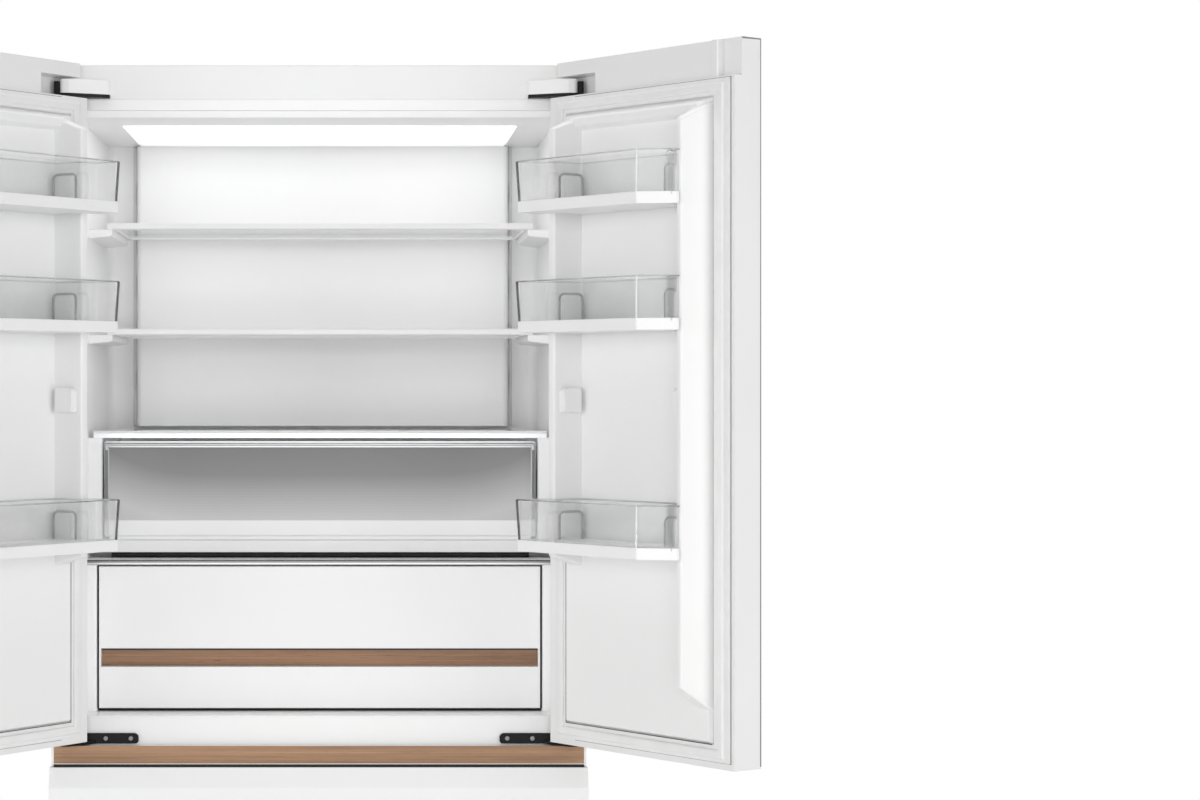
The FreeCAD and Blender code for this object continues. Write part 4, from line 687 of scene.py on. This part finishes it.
def drawer_strips():
    """Round strip and shaded posts of the chilled drawer, dark strips of painted shade in the gaps of the
    drawer under it.
    """
    low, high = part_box("chilled_trim")
    post, rim = high.x - TRIM_POST / 2, high.z - TRIM_RIM / 2
    end = rim - POST_HEAD
    hoop = [(-post, low.y, end), (-post, low.y, rim), (post, low.y, rim), (post, low.y, end)]
    strip = bead_along("chilled_strip", [hoop], TRIM_BEAD_R, FINISHES["bright_trim"])
    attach(strip, "chilled_drawer")
    shade = [[(x, low.y - POST_PROUD, z) for z in (low.z + POST_FOOT, end)] for x in (-post, post)]
    posts = bead_along("chilled_posts", shade, POST_R, POST_SHADE)
    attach(posts, "chilled_drawer")
    low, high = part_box("crisper_front")
    side_shade = [[(x, low.y + GAP_Y, z) for z in (low.z, high.z)] for x in (low.x - GAP_X, high.x + GAP_X)]
    foot = [[(x, low.y + FOOT_Y, low.z - FOOT_Z) for x in (low.x, high.x)]]
    for name, lines, radius in (("crisper_side_gaps", side_shade, GAP_R), ("crisper_foot_gap", foot, FOOT_R)):
        gap = bead_along(name, lines, radius, FINISHES["dark_plastic"])
        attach(gap, "cabinet")


def shelf_strips():
    """Dark strip of painted shade in the slot under the partition's nose, and the lip of the cover shelf."""
    low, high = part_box("drawer_partition")
    y, z = NOSE_FRONT + 2 * SLOT_R, (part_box("partition_trim")[1].z + high.z - NOSE_H) / 2
    slot = bead_along("slot_strip", [[(low.x + SLOT_END, y, z), (high.x - SLOT_END, y, z)]], SLOT_R,
                      FINISHES["dark_plastic"])
    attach(slot, "cabinet")
    low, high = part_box("cover_shelf_glass")
    y, z = low.y + LIP_R / 2, (low.z + high.z) / 2
    lip = bead_along("cover_lip", [[(low.x, y, z), (high.x, y, z)]], LIP_R, FINISHES["trim_white"])
    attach(lip, "cabinet")


def seal_gaps():
    """Dark lines of painted shade between each door's seal and its panel, under the lowest bin."""
    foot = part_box("door_body_left")[0].z + SEAL_Z
    for name, side in SIDES:
        line = [door_point(side, e, SEAL_Q, z) for e, z in ((SEAL_E, bin_bases()[0]), (SEAL_E, foot),
                                                            (SEAL_END_E, foot))]
        gap = bead_along("seal_gap_" + name, [line], SEAL_GAP_R, FINISHES["dark_plastic"])
        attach(gap, name + "_door")


def door_edges():
    """Grey lines of painted shade along the outer edge of each door and round the outside of its seal."""
    low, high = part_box("door_body_left")
    wide, top, front = DOOR_WIDE - EDGE_SINK, high.z - EDGE_SINK, EDGE_BACK - DOOR_THICK
    edge = [(wide, -CAP_SET - EDGE_SINK, top), (wide, front, top), (wide, front, low.z + EDGE_BACK)]
    (near, far), foot, head = SEAL_OUT_E, low.z + SEAL_OUT_Z[0], high.z - SEAL_OUT_Z[1]
    seal = [(near, SEAL_OUT_Q, foot), (far, SEAL_OUT_Q, foot), (far, SEAL_OUT_Q, head),
            (near, SEAL_OUT_Q, head)]
    for name, side in SIDES:
        for part, places, radius in (("door_edge_", edge, EDGE_R), ("seal_edge_", seal, SEAL_OUT_R)):
            line = [door_point(side, *place) for place in places]
            bead = bead_along(part + name, [line], radius, EDGE_SHADE)
            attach(bead, name + "_door")


def panel_seals():
    """Grey strip of painted shade between each side of the air panel and the liner behind it."""
    low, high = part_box("air_panel")
    y = high.y - PANEL_SHADE_IN
    lines = [[(x, y, z) for z in (low.z, high.z)] for x in (low.x - PANEL_SHADE_R, high.x + PANEL_SHADE_R)]
    shade_strips = bead_along("panel_seals", lines, PANEL_SHADE_R, PANEL_SHADE)
    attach(shade_strips, "cabinet")


def cap_ribs():
    """Rib with eased edges on the top strip of each door."""
    (e0, e1), (q0, q1), ease = CAP_RIB_E, CAP_RIB_Q, CAP_RIB_EASE
    section = [(e0, q0), (e0, q1 - ease), (e0 + ease, q1), (e1 - ease, q1), (e1, q1 - ease), (e1, q0)]
    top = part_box("door_body_left")[1].z
    count = len(section)
    walls = [(i, (i + 1) % count, (i + 1) % count + count, i + count) for i in range(count)]
    ends = [tuple(reversed(range(count))), tuple(range(count, 2 * count))]
    for name, side in SIDES:
        points = [door_point(side, e, q, z) for z in (top - CAP_H, top - ease) for e, q in section]
        mesh = bpy.data.meshes.new("cap_rib_" + name)
        mesh.from_pydata([tuple(point) for point in points], [], [face[::-side] for face in walls + ends])
        mesh.materials.append(FINISHES["door_white"])
        rib = bpy.data.objects.new("cap_rib_" + name, mesh)
        bpy.context.scene.collection.objects.link(rib)
        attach(rib, name + "_door")


def rear_fittings():
    """Screws round the cover of the compressor bay."""
    low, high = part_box("rear_cover")
    columns = [low.x + SCREW_INSET, low.x / 3, high.x / 3, high.x - SCREW_INSET]
    points = [(x, high.y, z) for x in columns for z in (low.z + SCREW_INSET, high.z - SCREW_INSET)]
    screws = screw_pattern().grow("rear_cover_screws", point_mesh("rear_cover_screws", points),
                                  Head_radius=SCREW_R, Material=FINISHES["galvanised"])
    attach(screws, "cabinet")


def dress_nodes():
    """Give every CAD node the finish of its slot, or its own."""
    slots = {part["node"]: part["material_slot"] for part in frame["record"]["subparts"]}
    for name, node in frame["nodes"].items():
        node.data.materials.clear()
        node.data.materials.append(NODE_FINISHES.get(name, FINISHES[slots[name]]))


def lay_floor():
    """Plain pale floor."""
    bpy.ops.mesh.primitive_plane_add(size=FLOOR_SIZE)
    floor = bpy.context.object
    floor.name = "studio_floor"
    paint = Finish("floor_paint", Roughness=0.7)
    paint.feed(Base_Color=paint.mix(paint.noise(scale=1.5), grey(232), grey(236)))
    floor.data.materials.append(paint.material)


def surround():
    """White surroundings: bright to the camera, to mirrors and through glass, weak as light."""
    world = bpy.data.worlds.new("surroundings")
    bpy.context.scene.world = world
    world.use_nodes = True
    nodes, links = world.node_tree.nodes, world.node_tree.links
    path = nodes.new("ShaderNodeLightPath")
    seen = path.outputs["Is Camera Ray"]
    for ray in ("Is Glossy Ray", "Is Transmission Ray"):
        either = nodes.new("ShaderNodeMath")
        either.operation = "MAXIMUM"
        links.new(seen, either.inputs[0])
        links.new(path.outputs[ray], either.inputs[1])
        seen = either.outputs[0]
    strength = nodes.new("ShaderNodeMapRange")
    links.new(seen, strength.inputs[0])
    strength.inputs["To Min"].default_value = WORLD_LIGHT
    strength.inputs["To Max"].default_value = WORLD_SEEN
    links.new(strength.outputs[0], nodes["Background"].inputs["Strength"])
    nodes["Background"].inputs["Color"].default_value = (1, 1, 1, 1)


def hang_lamps():
    """Four soft lamps."""
    for name, (place, aim, size, power) in LAMPS.items():
        lamp = bpy.data.lights.new(name, "AREA")
        lamp.size = size
        lamp.energy = power
        holder = bpy.data.objects.new(name, lamp)
        bpy.context.scene.collection.objects.link(holder)
        holder.location = place
        holder.rotation_euler = (Vector(aim) - Vector(place)).to_track_quat("-Z", "Y").to_euler()


def set_camera():
    """Camera level in front of the cabinet, its frame shifted to one side."""
    camera = bpy.data.cameras.new("camera")
    camera.lens = LENS
    camera.sensor_width = SENSOR
    camera.shift_x, camera.shift_y = SHIFT
    station = bpy.data.objects.new("camera", camera)
    bpy.context.scene.collection.objects.link(station)
    station.location = (CAMERA_X, CABINET_FRONT - CAMERA_AHEAD, CAMERA_Z)
    station.rotation_euler = (math.pi / 2, 0, 0)
    bpy.context.scene.camera = station
    bpy.context.scene.view_settings.view_transform = "Standard"


dress_nodes()
bin_fittings()
drawer_strips()
shelf_strips()
seal_gaps()
door_edges()
panel_seals()
cap_ribs()
rear_fittings()
lay_floor()
surround()
hang_lamps()
set_camera()
